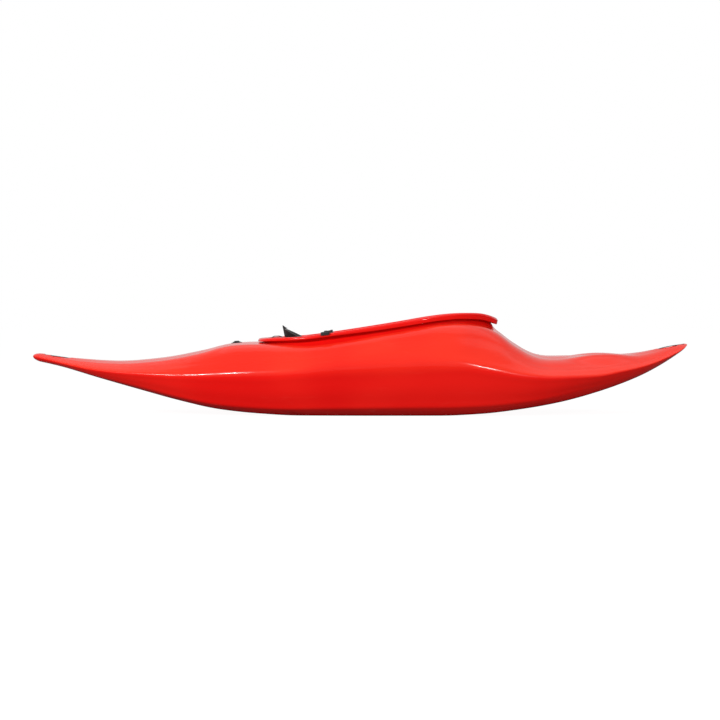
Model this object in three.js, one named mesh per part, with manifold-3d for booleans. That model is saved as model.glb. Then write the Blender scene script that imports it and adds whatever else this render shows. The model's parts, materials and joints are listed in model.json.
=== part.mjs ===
// A whitewater kayak of the kind with thin, slicing ends: one moulded shell with its
// cockpit rim, and the seat, back band, thigh braces and foot plate fitted inside it.
// Millimetres. +X points to the bow, +Y to port and +Z up. The origin lies below the
// middle of the length, on the flat that the hull stands on.
import * as THREE from "three";
import { mergeVertices } from "three/addons/utils/BufferGeometryUtils.js";
import Module from "manifold-3d";

// Driving sizes of the shell
const LENGTH = 2300;
const BEAM = 645; // over the sheer's corners before they are rounded
const DECK_HEIGHT = 323;
const WALL = 5;
const FIT = 0.3; // gap between faces that seat on each other
const SLIVER = 0.05; // smallest detail kept where solids are joined or cut
const RUNNING = 1; // gap between pieces that slide or turn past each other
const OVERRUN = 2; // how far a cut runs past the piece it is made in

// Guide lines of the shell: share of the length from the stern, share of the size named
const keelRiseShares = [
  [0, 0.575], [0.045, 0.506], [0.105, 0.385], [0.17, 0.26], [0.23, 0.149], [0.29, 0.061],
  [0.35, 0.019], [0.41, 0], [0.62, 0], [0.68, 0.018], [0.74, 0.066], [0.8, 0.139],
  [0.86, 0.25], [0.92, 0.4], [0.96, 0.54], [1, 0.72],
]; // of DECK_HEIGHT
const deckRiseShares = [
  [0, 0.655], [0.02, 0.64], [0.075, 0.59], [0.135, 0.567], [0.197, 0.601], [0.258, 0.679],
  [0.304, 0.752], [0.335, 0.763], [0.41, 0.765], [0.47, 0.814], [0.53, 0.881], [0.59, 0.951],
  [0.62, 0.983], [0.657, 1], [0.681, 0.985], [0.696, 0.95], [0.711, 0.891], [0.726, 0.805],
  [0.741, 0.735], [0.756, 0.673], [0.772, 0.634], [0.787, 0.622], [0.83, 0.626], [0.87, 0.632],
  [0.91, 0.646], [0.94, 0.676], [0.97, 0.73], [1, 0.765],
]; // of DECK_HEIGHT
const sheerHalfShares = [
  [0, 0.09], [0.02, 0.14], [0.07, 0.275], [0.16, 0.485], [0.225, 0.625], [0.285, 0.75],
  [0.35, 0.855], [0.41, 0.93], [0.47, 0.978], [0.54, 1], [0.6, 0.99], [0.655, 0.962],
  [0.715, 0.906], [0.775, 0.828], [0.835, 0.714], [0.9, 0.54], [0.943, 0.385], [0.974, 0.25],
  [1, 0.13],
]; // of half the BEAM
const sheerRiseShares = [
  [0, 0.62], [0.05, 0.542], [0.105, 0.472], [0.16, 0.443], [0.24, 0.426], [0.315, 0.431],
  [0.38, 0.452], [0.44, 0.493], [0.5, 0.523], [0.6, 0.55], [0.645, 0.546], [0.69, 0.5],
  [0.74, 0.44], [0.79, 0.416], [0.85, 0.425], [0.89, 0.47], [0.92, 0.51], [0.95, 0.572],
  [0.985, 0.675], [1, 0.742],
]; // of DECK_HEIGHT
const flatHalfShares = [
  [0, 0.4], [0.1, 0.55], [0.3, 0.64], [0.5, 0.66], [0.75, 0.66], [0.9, 0.6], [1, 0.45],
];
const chineHalfShares = [
  [0, 0.72], [0.1, 0.78], [0.3, 0.83], [0.5, 0.84], [0.75, 0.84], [0.9, 0.82], [1, 0.75],
];
// both of the sheer's half width
const chineRiseShares = [
  [0, 0.3], [0.17, 0.2], [0.25, 0.15], [0.42, 0.17], [0.65, 0.18], [0.76, 0.23], [0.86, 0.4], [1, 0.42],
]; // of the height from keel to sheer
const shoulderHalfShares = [
  [0, 0.6], [0.1, 0.68], [0.25, 0.74], [0.33, 0.79], [0.5, 0.81], [0.62, 0.78], [0.7, 0.64],
  [0.78, 0.62], [0.88, 0.62], [1, 0.5],
]; // of the sheer's half width
const shoulderRiseShares = [
  [0, 0.6], [0.1, 0.72], [0.25, 0.86], [0.33, 0.97], [0.5, 0.98], [0.62, 0.96], [0.7, 0.88],
  [0.78, 0.8], [0.88, 0.8], [1, 0.6],
]; // of the height from sheer to deck

// Corner radii of the section from the hull's flat up to the deck, and how full its sides are
const cornerRounds = { flatEdge: 34, chine: 20, sheer: 11, shoulder: 46 };
const cornerLimitShare = 0.42; // of the shorter side that a corner lies on
const outerSteps = { corners: [2, 2, 2, 3], spans: [1, 1, 2, 3, 3] };
const innerSteps = { corners: [1, 1, 1, 2], spans: [1, 1, 2, 2, 2] };
const spanFillShares = [0, 0.02, 0.03, 0.03, 0.02];
const TIP_ROUND = 30; // the run over which each end closes

// Bumps that give the toes room, one on each side of the bow deck
const TOE_BUMP = { rise: 14, run: 290, width: 135 };
const toeBumpStationShare = 0.862; // of LENGTH
const toeBumpOffsetShare = 0.46; // of the sheer's half width

// Stations of the shell
const STATION_STEP = 57;
const KNEE_STEP = 25;
const kneeShares = [0.675, 0.795]; // of LENGTH, where the bow deck drops
const tipShares = [0.04, 0.2, 0.5]; // of TIP_ROUND
const SOLID_TIP = { stern: 138, bow: 103.5 }; // the run at each end with no room inside

// Cockpit rim
const COCKPIT = { run: 840, width: 500, centre: 64 }; // outside the lip
const RIM = { neckWall: 6, reach: 26, drop: 11, thickness: 5, round: 2.4, root: 26 };
const rimCrestShares = [
  [0.33, 0.807], [0.366, 0.82], [0.411, 0.836], [0.441, 0.861], [0.5, 0.923], [0.559, 0.991],
  [0.618, 1.062], [0.648, 1.084], [0.663, 1.087], [0.68, 1.083], [0.693, 1.065], [0.712, 1.02],
]; // of DECK_HEIGHT
const eggTaperShare = 0.2; // how much wider the rear is than the front
const eggPower = { mean: 0.83, swing: 0.17 };
const RIM_STEPS = 54;

// Seat. Its fore and aft places, and the back band's, are distances ahead of the rear of the rim's neck.
const SEAT = { rear: 115, flatRear: 180, flatFront: 420, front: 470, under: 20, wall: 4, turnUp: 74 };
const SEAT_TRAVEL = { aft: 5, forward: 30 };
const SEAT_ROOM = { beside: 5, belowDeck: 14.5 }; // to the rim's neck, and to the deck over the seat's rear
const SEAT_RISE = { rear: 30, front: 14 };
const seatSideShares = [[0, 0], [0.28, 0], [0.56, 0], [0.77, 0.03], [0.89, 0.19], [0.96, 0.48], [1, 1]];
// of the half width and of the height over which the side turns up
const wingShares = [[0, 0.3], [0.07, 0.6], [0.2, 0.94], [0.28, 1], [0.87, 1], [0.93, 0.66], [1, 0]];
// of the seat's run and of the wing's height
const seatRearShares = [1, 0.62, 0.28, 0];
const seatFrontShares = [0, 0.36, 0.68, 1];
const RUNNER = { rear: 125, front: 515 };
const runnerSideShares = [0.45, 0.58]; // of the seat's half width
const HANGER = { rear: 205, front: 425, thickness: 13, belowWing: 40 };
const SEAT_BOLT = { shaft: 3.5, knob: 11, knobDepth: 8, nut: 8, nutDepth: 4.5 };
const SEAT_BOLT_PLACES = { rear: 255, front: 375, belowWing: 23 };
const SEAT_PAD = { rear: 172, front: 370, margin: 63, rim: 7, crown: 20, heel: 9 };
const SEAT_GROOVE = { depth: 6, side: 76, width: 34 };
const seatPadWaistShare = 0.06;
const seatGrooveEndShare = 0.3;
const LIFTER = { rear: 378, front: 467, margin: 75, rise: 24, crown: 8, cornerDraw: 4 };
const lifterShares = { lean: 0.34, side: 0.45, edge: 0.7 };
const HIP_PAD = { rear: 218, front: 392, aboveSeat: 44, belowWing: 42, rim: 9, crown: 33 };
const hipPadTopShare = 0.82; // how thick its upper edge is beside its lower one

// Back band: a part of a cone that leans aft, hung on two pins in the seat's sides
const BAND = { rear: 95, insideSeat: 28, lean: 30, abovePivot: 25, aboveRim: 33, wall: 4 };
const bandHalfAngle = 50;
const BAND_EDGE_DROP = { high: 44, low: 30 };
const BAND_TAB = { half: 20, above: 10, root: 30 };
const tabShares = [1.25, 1.6, 0.25, -0.75]; // of the band's wall, ahead of its back
const BAND_PAD = { rim: 8, crown: 15, margin: 6 };
const BAND_PIVOT = { ahead: 140, aboveSeat: 120, shaft: 4, head: 7.5, headDepth: 3 };
const BAND_EAR = { radius: 15, thickness: 5, besideSeat: 3 };
const BAND_ARM = { height: 24, thickness: 7 };
const bandArmShares = { arm: 0.04, web: 0.95 }; // of the band's height, where each leaves it
const BAND_WEB = { thickness: 5, ahead: 7, above: 8 };
const elbowShares = { back: 0.55, arm: 0.6, web: 0.85 }; // of the way aft and out to the ear
const BAND_LOOP = { thickness: 2.5, half: 19, reach: 54 };
const loopSpanShares = [0.22, 0.795]; // of the band's height
const loopShares = [
  [0, 0.68], [0, 0.89], [0.36, 1], [0.72, 0.99], [0.98, 0.855], [1, 0.605], [0.655, 0.316],
  [0.04, 0.184], [0, 0],
]; // of the loop's reach and height

// Toothed straps that set the back band, and their ratchets clipped over the rim
const STRAP = { run: 208, width: 17, thickness: 2, tooth: 1.4, neck: 0.8, pitch: 6 };
const STRAP_PLACE = { besideClip: 23, belowRim: 36 };
const STRAP_PIN = { ahead: 125, fromEnd: 9, shaft: 3, head: 6, headDepth: 3, lead: 4 };
const STRAP_EAR = { rear: 10, front: 9, half: 13, round: 6, thickness: 5, gap: 0.6 };
const STRAP_SLOT = { beside: 1.3, below: 1.6, above: 4.2 }; // room round the strap's pin
const CLIP = { ahead: 216, width: 28, over: 8, wall: 4, hook: 5, arm: 29, bevel: 3 };
const CLIP_RIDGE = { rise: 1.6, run: 6 };
const RATCHET = { rear: 14, front: 45, depth: 20, base: 4, cheek: 3, bridge: 18 };
const cheekShares = [[0.32, 1.05], [0.4, 0.4], [0.72, 0], [1, 0], [1, 1.05]]; // of its run and depth
const LEVER = { ahead: 35, eye: 8.5, pin: 2, run: 51, thickness: 8, swing: 12 };
const leverShares = [[0, 0], [0.27, 0.08], [0.59, 0.42], [1, 1]]; // of its run and swing

// Thigh braces under a shelf on the rim's inner face. Their places are shares of half the
// neck's length, ahead of the cockpit's middle.
const thighMountShares = [0.079, 0.51];
const thighKnobShare = 0.2944;
const thighBraceShares = [-0.03, 0.675];
const THIGH_MOUNT = { wall: 4, low: 32, high: 5, shelf: 25, shelfThickness: 4 };
const shelfEndShare = 0.5;
const THIGH = { gap: 14, wall: 5, root: 12, reach: 64, flat: 26, hook: 30, travel: 20 };
const THIGH_PAD = { rim: 3, crown: 12 };
const thighPadShares = { along: [0.06, 0.94], across: [0.45, 0.97] };
const THIGH_KNOB = { inside: 26, shaft: 3.5, knob: 13, knobDepth: 13, washer: 8, washerDepth: 3 };

// Foot plate on two rails
const footPlateShare = 0.8217; // of LENGTH
const PLATE = { thickness: 8, ahead: 66, inset: 12 };
const RAIL = { rear: 422, bend: 186, thickness: 5, width: 20 };
const RAIL_PLACE = { besideHull: 22, besidePlate: 11, belowSheer: 8.5 };
const RAIL_HOLES = { radius: 3, pitch: 22 };
const RAIL_TONGUE = { run: 43, round: 14, notch: 16 };
const RAIL_BRACKET = { rear: 355, front: 308, inside: 12, half: 22 };
const RAIL_KNOB = { behind: 332, shaft: 3.5, knob: 14, knobDepth: 12 };
const FOOT_PAD = { rim: 8, crown: 16, inset: 12, draw: 14 };
const footPadShares = [[1, 1], [0.7, 0.29], [0, 0]]; // of its crown and of how far its edge draws in
const PILLAR = { half: 28, behindRim: 16, aheadOfPlate: 112, fromSternHandle: 197, fromBowHandle: 7 };

// Hand knobs have hollows between their lobes
const knobLobes = 5;
const knobHollowShare = 0.13;

// Drain and grab handles in the deck
const DRAIN = { behindRim: 81, side: 45, hole: 14, recess: 20, sink: 1.2, bore: 9, flange: 19.2, depth: 12 };
const DRAIN_CAP = { radius: 15, bevel: 1, tip: 2, wing: 13, wingTop: 10.5, wingHalf: 2.6 };
const DRAIN_SEAL = { inside: 0.6, shoulder: 0.4, width: 3.2 };
const DRAIN_RISE = { flange: 1.2, seal: 3, cap: 6, wing: 11 };
const HANDLE = { fromEnds: [98, 68], half: 55, width: 24, thickness: 5, proud: 0.6, arch: 1.5 };
const handleArchShare = 0.79; // of half its length
const HANDLE_BOWL = { run: 76, width: 62, depth: 24 };
const HANDLE_SCREW = { out: 46, shaft: 2.5, head: 4.6, headDepth: 2.2, sink: 2.8, depth: 12 };

// Sides of round pieces
const SIDES = { pipe: 20, shaft: 12, hole: 8, nut: 6 };

const wasm = await Module();
wasm.setup();
const { Manifold } = wasm;

// Solids are worked on as manifolds and leave as geometries
function toManifold(geometry) {
  const bare = geometry.clone();
  bare.deleteAttribute("normal");
  bare.deleteAttribute("uv");
  const merged = mergeVertices(bare);
  return fromArrays(Array.from(merged.attributes.position.array), Array.from(merged.index.array));
}

function fromArrays(positions, triangles) {
  const mesh = new wasm.Mesh({
    numProp: 3,
    vertProperties: new Float32Array(positions),
    triVerts: new Uint32Array(triangles),
  });
  return new Manifold(mesh);
}

function toMesh(name, solid) {
  const mesh = solid.simplify(SLIVER).getMesh();
  const geometry = new THREE.BufferGeometry();
  geometry.setAttribute("position", new THREE.BufferAttribute(new Float32Array(mesh.vertProperties), 3));
  geometry.setIndex(new THREE.BufferAttribute(new Uint32Array(mesh.triVerts), 1));
  const made = new THREE.Mesh(geometry);
  made.name = name;
  return made;
}

const lerp = (a, b, t) => a + (b - a) * t;

// A smooth line through a guide's points that never overshoots them
function guide(pairs) {
  const slopes = pairs.slice(1).map((pair, i) => (pair[1] - pairs[i][1]) / (pair[0] - pairs[i][0]));
  const tangents = pairs.map((_, i) => {
    if (i === 0) return slopes[0];
    if (i === pairs.length - 1) return slopes[i - 1];
    const product = slopes[i - 1] * slopes[i];
    return product <= 0 ? 0 : (2 * product) / (slopes[i - 1] + slopes[i]);
  });
  return (share) => {
    const at = THREE.MathUtils.clamp(share, pairs[0][0], pairs[pairs.length - 1][0]);
    const found = pairs.findIndex((pair, i) => i > 0 && at <= pair[0]);
    const i = Math.max(found - 1, 0);
    const run = pairs[i + 1][0] - pairs[i][0];
    const t = (at - pairs[i][0]) / run;
    const rise = pairs[i][1] * (1 + 2 * t) * (1 - t) ** 2 + pairs[i + 1][1] * t * t * (3 - 2 * t);
    return rise + run * t * (1 - t) * (tangents[i] * (1 - t) - tangents[i + 1] * t);
  };
}

const keelRise = guide(keelRiseShares);
const deckRise = guide(deckRiseShares);
const sheerHalf = guide(sheerHalfShares);
const sheerRise = guide(sheerRiseShares);
const flatHalf = guide(flatHalfShares);
const chineHalf = guide(chineHalfShares);
const chineRise = guide(chineRiseShares);
const shoulderHalf = guide(shoulderHalfShares);
const shoulderRise = guide(shoulderRiseShares);
const rimCrest = guide(rimCrestShares);
const shareOf = (x) => x / LENGTH + 1 / 2;
const alongHull = (share) => (share - 1 / 2) * LENGTH;

// Corners of half a section, from the keel round to the middle of the deck
function sectionCorners(x) {
  const s = shareOf(x);
  const half = (sheerHalf(s) * BEAM) / 2;
  const keel = keelRise(s) * DECK_HEIGHT;
  const sheer = sheerRise(s) * DECK_HEIGHT;
  const deck = deckRise(s) * DECK_HEIGHT;
  return [
    [0, keel],
    [flatHalf(s) * half, keel],
    [chineHalf(s) * half, keel + chineRise(s) * (sheer - keel)],
    [half, sheer],
    [shoulderHalf(s) * half, sheer + shoulderRise(s) * (deck - sheer)],
    [0, deck],
  ];
}

// The same corners moved in by a wall
function insetCorners(corners, inset) {
  const sides = corners.slice(1).map((corner, i) => {
    const along = [corner[0] - corners[i][0], corner[1] - corners[i][1]];
    const size = Math.hypot(along[0], along[1]);
    const inward = [-along[1] / size, along[0] / size];
    return { from: [corners[i][0] + inward[0] * inset, corners[i][1] + inward[1] * inset], along };
  });
  const middle = (side) => [0, side.from[1] - (side.from[0] * side.along[1]) / side.along[0]];
  const crossings = sides.slice(1).map((side, i) => {
    const last = sides[i];
    const cross = last.along[0] * side.along[1] - last.along[1] * side.along[0];
    const gap = [side.from[0] - last.from[0], side.from[1] - last.from[1]];
    const t = (gap[0] * side.along[1] - gap[1] * side.along[0]) / cross;
    return [last.from[0] + last.along[0] * t, last.from[1] + last.along[1] * t];
  });
  return [middle(sides[0]), ...crossings, middle(sides[sides.length - 1])];
}

function toeBump(x, y, half) {
  const along = (x - alongHull(toeBumpStationShare)) / (TOE_BUMP.run / 2);
  const across = (Math.abs(y) - toeBumpOffsetShare * half) / (TOE_BUMP.width / 2);
  return TOE_BUMP.rise * Math.max(0, 1 - along * along - across * across) ** 2;
}

// Points of half a section with its corners rounded and its sides filled
function halfSection(x, inset = 0, bumps = true) {
  const outer = sectionCorners(x);
  const corners = inset > 0 ? insetCorners(outer, inset) : outer;
  const steps = inset > 0 ? innerSteps : outerSteps;
  const rounds = Object.values(cornerRounds).map((round) => Math.max(round - inset, round / 4));
  const lengths = corners.slice(1).map((c, i) => Math.hypot(c[0] - corners[i][0], c[1] - corners[i][1]));
  const between = (a, b, t) => [a[0] + (b[0] - a[0]) * t, a[1] + (b[1] - a[1]) * t];
  const points = [];
  let start = corners[0];
  for (let i = 1; i < corners.length; i += 1) {
    const last = i === corners.length - 1;
    const shorter = Math.min(lengths[i - 1], lengths[i] ?? 0);
    const reach = Math.min(rounds[i - 1] ?? 0, cornerLimitShare * shorter);
    const stop = between(corners[i], corners[i - 1], reach / lengths[i - 1]);
    const side = [stop[0] - start[0], stop[1] - start[1]];
    for (let k = 0; k < steps.spans[i - 1]; k += 1) {
      const t = k / steps.spans[i - 1];
      const fill = spanFillShares[i - 1] * 4 * t * (1 - t);
      const point = between(start, stop, t);
      points.push([point[0] + side[1] * fill, point[1] - side[0] * fill]);
    }
    if (last) {
      points.push(corners[i]);
    } else {
      start = between(corners[i], corners[i + 1], reach / lengths[i]);
      for (let k = 0; k < steps.corners[i - 1]; k += 1) {
        const t = k / steps.corners[i - 1];
        points.push(between(between(stop, corners[i], t), between(corners[i], start, t), t));
      }
    }
  }
  const [half, sheer] = outer[3];
  return points.map(([y, z]) => [y, bumps && z > sheer ? z + toeBump(x, y, half) : z]);
}

// A whole section, drawn in towards its middle near each end of the boat
function sectionRing(x, inset = 0, bumps = true) {
  const half = halfSection(x, inset, bumps);
  const other = half.slice(1, -1).reverse();
  const middle = (half[0][1] + half[half.length - 1][1]) / 2;
  const left = Math.min(1, (LENGTH / 2 - Math.abs(x)) / TIP_ROUND);
  const scale = Math.sqrt(1 - (1 - left) ** 2);
  const place = (y, z) => [x, y * scale, middle + (z - middle) * scale];
  return [...half.map(([y, z]) => place(y, z)), ...other.map(([y, z]) => place(-y, z))];
}

// Height of the deck's outer face above a place in plan
function deckHeight(x, y, inset = 0) {
  const half = halfSection(x, inset);
  const top = half.slice(half.findIndex((p) => p[0] === Math.max(...half.map((q) => q[0]))));
  const at = Math.abs(y);
  const k = Math.max(1, top.findIndex((p) => p[0] <= at));
  const t = (at - top[k - 1][0]) / (top[k][0] - top[k - 1][0]);
  return top[k - 1][1] + (top[k][1] - top[k - 1][1]) * t;
}

// A solid through rings of equal count, closed by a fan at each end
function loft(rings, poles) {
  const count = rings[0].length;
  const last = (rings.length - 1) * count;
  const middle = (ring) => ring[0].map((value, axis) => (value + ring[count / 2][axis]) / 2);
  const ends = poles ?? [middle(rings[0]), middle(rings[rings.length - 1])];
  const positions = [...rings.flat(2), ...ends.flat()];
  const pole = rings.length * count;
  const triangles = [];
  for (let i = 0; i < rings.length - 1; i += 1) {
    for (let k = 0; k < count; k += 1) {
      const a = i * count + k;
      const b = i * count + ((k + 1) % count);
      if (k < count / 2) triangles.push(a, b, b + count, a, b + count, a + count);
      else triangles.push(a, b, a + count, b, b + count, a + count);
    }
  }
  for (let k = 0; k < count; k += 1) {
    const next = (k + 1) % count;
    triangles.push(pole, next, k, pole + 1, last + k, last + next);
  }
  return fromArrays(positions, triangles);
}

// Stations between two shares of the length
function stations(from, to) {
  const found = [];
  const knee = kneeShares.map(alongHull);
  let x = from;
  while (x < to) {
    found.push(x);
    x += x > knee[0] && x < knee[1] ? KNEE_STEP : STATION_STEP;
  }
  if (to - found[found.length - 1] < STATION_STEP / 4) found.pop();
  found.push(to);
  return found;
}

function outerHull() {
  const end = LENGTH / 2;
  const tips = tipShares.map((share) => share * TIP_ROUND);
  const places = [
    ...tips.map((run) => run - end),
    ...stations(TIP_ROUND - end, end - TIP_ROUND),
    ...tips.map((run) => end - run).reverse(),
  ];
  const poles = [sectionRing(-end)[0], sectionRing(end)[0]];
  return loft(places.map((x) => sectionRing(x)), poles);
}

// The room inside the shell, drawn in further by a gap for what seats on its wall
function cavity(gap = 0) {
  const [from, to] = [SOLID_TIP.stern - LENGTH / 2, LENGTH / 2 - SOLID_TIP.bow];
  const places = stations(from, to);
  places[0] += gap;
  places[places.length - 1] -= gap;
  return loft(places.map((x) => sectionRing(x, WALL + gap)));
}

// Plan of the cockpit, drawn at a distance outside the rim's neck
function eggPoint(turn, outside) {
  const a = COCKPIT.run / 2 - RIM.reach;
  const b = COCKPIT.width / 2 - RIM.reach;
  const power = eggPower.mean + eggPower.swing * Math.cos(turn);
  const shape = (value) => Math.sign(value) * Math.abs(value) ** power;
  const draw = (t) => {
    const forward = shape(Math.cos(t));
    return [COCKPIT.centre + a * forward, b * shape(Math.sin(t)) * (1 - (eggTaperShare / 2) * forward)];
  };
  const [x, y] = draw(turn);
  const step = Math.PI / 720;
  const [before, after] = [draw(turn - step), draw(turn + step)];
  const size = Math.hypot(after[0] - before[0], after[1] - before[1]);
  return [x + ((after[1] - before[1]) / size) * outside, y - ((after[0] - before[0]) / size) * outside];
}

// Turns that space the rim's points evenly along its length
function rimTurns(count) {
  const fine = 1440;
  const runs = [0];
  for (let i = 1; i <= fine; i += 1) {
    const from = eggPoint((2 * Math.PI * (i - 1)) / fine, 0);
    const to = eggPoint((2 * Math.PI * i) / fine, 0);
    runs.push(runs[i - 1] + Math.hypot(to[0] - from[0], to[1] - from[1]));
  }
  const turns = [];
  let k = 0;
  for (let i = 0; i < count; i += 1) {
    const wanted = (runs[fine] * i) / count;
    while (runs[k + 1] <= wanted) k += 1;
    turns.push((2 * Math.PI * (k + (wanted - runs[k]) / (runs[k + 1] - runs[k]))) / fine);
  }
  return turns;
}

function cockpitPrism(outside, low, high) {
  const plan = rimTurns(RIM_STEPS).map((turn) => eggPoint(turn, outside));
  const shape = new THREE.Shape(plan.map(([x, y]) => new THREE.Vector2(x, y)));
  const solid = new THREE.ExtrudeGeometry(shape, { depth: high - low, bevelEnabled: false });
  return toManifold(solid.translate(0, 0, low));
}

const crestHeight = (x) => rimCrest(shareOf(x)) * DECK_HEIGHT;

// Carries a profile round the rim. Its points are distances outside the neck and rises
// from the rim's crest, where a missing rise stands for the height that foot gives.
function rimSweep(turns, profile, foot, closed) {
  const positions = [];
  for (const turn of turns) {
    for (const [out, rise] of profile) {
      const place = eggPoint(turn, out);
      const z = rise === undefined ? foot(turn) : crestHeight(place[0]) + rise;
      positions.push(place[0], place[1], z);
    }
  }
  const count = profile.length;
  const runs = closed ? turns.length : turns.length - 1;
  const triangles = [];
  for (let i = 0; i < runs; i += 1) {
    const next = (i + 1) % turns.length;
    for (let k = 0; k < count; k += 1) {
      const a = i * count + k;
      const b = i * count + ((k + 1) % count);
      const c = next * count + ((k + 1) % count);
      const d = next * count + k;
      if (i < turns.length / 2) triangles.push(a, b, c, a, c, d);
      else triangles.push(a, b, d, b, c, d);
    }
  }
  if (!closed) {
    const outline = profile.map(([out, rise]) => new THREE.Vector2(out, rise));
    const face = THREE.ShapeUtils.triangulateShape(outline, []);
    const last = runs * count;
    for (const [a, b, c] of face) {
      const turned = cornerTurn(profile[a], profile[b], profile[c]) > 0;
      const [p, q] = turned ? [b, c] : [c, b];
      triangles.push(a, p, q, last + a, last + q, last + p);
    }
  }
  return fromArrays(positions, triangles);
}

const cornerTurn = (a, b, c) => (b[0] - a[0]) * (c[1] - a[1]) - (b[1] - a[1]) * (c[0] - a[0]);

// The rim's neck and its turned-down lip
function rimSolid() {
  const { neckWall, reach, drop, thickness, round, root } = RIM;
  const profile = [
    [-neckWall, undefined], [-neckWall, -round], [-neckWall + round, 0], [reach - round, 0],
    [reach, -round], [reach, -drop], [reach - thickness, -drop], [reach - thickness, -thickness - round],
    [reach - thickness - round, -thickness], [0, -thickness], [0, undefined],
  ];
  const foot = (turn) => deckHeight(...eggPoint(turn, 0)) - root;
  return rimSweep(rimTurns(RIM_STEPS), profile, foot, true);
}

// Places worked out from the shell
const neckRun = COCKPIT.run / 2 - RIM.reach;
const neckRear = COCKPIT.centre - neckRun;
const lipRear = COCKPIT.centre - COCKPIT.run / 2;
const ahead = (distance) => neckRear + distance;
const alongCockpit = (share) => COCKPIT.centre + share * neckRun;
const rimInside = -RIM.neckWall - FIT;

// Half the width of the room inside the shell at a height
function roomHalf(x, z) {
  const ring = halfSection(x, WALL);
  const found = ring.slice(1).flatMap(([y, high], i) => {
    const [before, low] = ring[i];
    if ((low - z) * (high - z) > 0 || low === high) return [];
    return [before + ((y - before) * (z - low)) / (high - low)];
  });
  return Math.max(...found);
}

// The turn at which the rim's port side passes a place along the boat
function turnAt(x, outside = 0) {
  let [low, high] = [0, Math.PI];
  while (high - low > 1e-6) {
    const middle = (low + high) / 2;
    if (eggPoint(middle, outside)[0] > x) low = middle;
    else high = middle;
  }
  return low;
}

const neckHalf = (x) => eggPoint(turnAt(x), 0)[1];

function turnsBetween(rear, front, steps) {
  const [from, to] = [turnAt(front), turnAt(rear)];
  return Array.from({ length: steps + 1 }, (_, i) => from + ((to - from) * i) / steps);
}

// Frame of the drain: its middle on the deck and the deck's own direction there
function drainFrame() {
  const [x, y, reach] = [lipRear - DRAIN.behindRim, DRAIN.side, DRAIN.hole];
  const slopeX = (deckHeight(x + reach, y) - deckHeight(x - reach, y)) / (2 * reach);
  const slopeY = (deckHeight(x, y + reach) - deckHeight(x, y - reach)) / (2 * reach);
  const up = new THREE.Vector3(-slopeX, -slopeY, 1).normalize();
  const turn = new THREE.Quaternion().setFromUnitVectors(new THREE.Vector3(0, 0, 1), up);
  const middle = new THREE.Vector3(x, y, deckHeight(x, y));
  return new THREE.Matrix4().compose(middle, turn, new THREE.Vector3(1, 1, 1));
}

// A round solid about an upright axis, from [radius, height] points
function turned(profile, sides) {
  const points = profile.map((p) => new THREE.Vector2(...p));
  if (profile[0][0] > 0) points.push(points[0].clone());
  const geometry = new THREE.LatheGeometry(points, sides).rotateX(Math.PI / 2);
  const made = toManifold(geometry);
  return made.volume() > 0 ? made : made.mirror([0, 1, 0]);
}

const inDrain = (solid) => solid.transform(drainFrame().elements);

function drainCuts() {
  const { hole, recess, sink, depth } = DRAIN;
  const through = turned([[0, -3 * depth], [hole, -3 * depth], [hole, 0], [0, 0]], SIDES.pipe);
  const seat = turned([[0, -sink], [recess, -sink], [recess, depth], [0, depth]], SIDES.pipe);
  return inDrain(through.add(seat));
}

// The line of a grab handle along the deck, at a height above it
function handleLine(middle, rise) {
  return Array.from({ length: 9 }, (_, i) => {
    const share = i / 4 - 1;
    const x = middle + share * HANDLE.half;
    const arch = Math.max(0, 1 - (share / handleArchShare) ** 2);
    return [x, deckHeight(x, 0) + rise + HANDLE.arch * arch];
  });
}

const screwPlaces = (middle) => [middle - HANDLE_SCREW.out, middle + HANDLE_SCREW.out];

function handleCuts(middle) {
  const bowl = new THREE.SphereGeometry(1, 16, 8);
  bowl.rotateX(Math.PI / 2);
  bowl.scale(HANDLE_BOWL.run / 2, HANDLE_BOWL.width / 2, HANDLE_BOWL.depth);
  const rise = deckHeight(middle + HANDLE.half, 0) - deckHeight(middle - HANDLE.half, 0);
  bowl.rotateY(-Math.atan(rise / (2 * HANDLE.half)));
  bowl.translate(middle, 0, deckHeight(middle, 0));
  const seat = handleLine(middle, HANDLE.proud - HANDLE.thickness - FIT + HANDLE.width / 4);
  seat[0][0] -= RUNNING;
  seat[seat.length - 1][0] += RUNNING;
  const half = HANDLE.width / 2 + FIT;
  let cuts = toManifold(bowl).add(extrude("xz", ribbon(seat, HANDLE.width / 2), -half, half));
  for (const x of screwPlaces(middle)) {
    const deck = deckHeight(x, 0);
    cuts = cuts.add(uprightRod(HANDLE_SCREW.shaft + FIT, x, 0, deck - HANDLE_SCREW.depth - FIT, deck));
  }
  return cuts;
}

const handleMiddles = [HANDLE.fromEnds[0] - LENGTH / 2, LENGTH / 2 - HANDLE.fromEnds[1]];

function hullShell() {
  const opening = cockpitPrism(-RIM.neckWall / 2, DECK_HEIGHT / 3, 2 * DECK_HEIGHT);
  let shell = outerHull().subtract(opening).add(rimSolid()).subtract(cavity()).subtract(drainCuts());
  for (const middle of handleMiddles) shell = shell.subtract(handleCuts(middle));
  return shell;
}

// Solids for the fittings
function block(low, high) {
  const size = high.map((value, axis) => value - low[axis]);
  const middle = high.map((value, axis) => (value + low[axis]) / 2);
  return toManifold(new THREE.BoxGeometry(...size).translate(...middle));
}

function rod(radius, from, to, sides = SIDES.shaft) {
  const [start, stop] = [new THREE.Vector3(...from), new THREE.Vector3(...to)];
  const along = stop.clone().sub(start);
  const geometry = new THREE.CylinderGeometry(radius, radius, along.length(), sides);
  const turn = new THREE.Quaternion();
  turn.setFromUnitVectors(new THREE.Vector3(0, 1, 0), along.normalize());
  return toManifold(geometry.applyQuaternion(turn).translate(...start.add(stop).divideScalar(2).toArray()));
}

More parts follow.
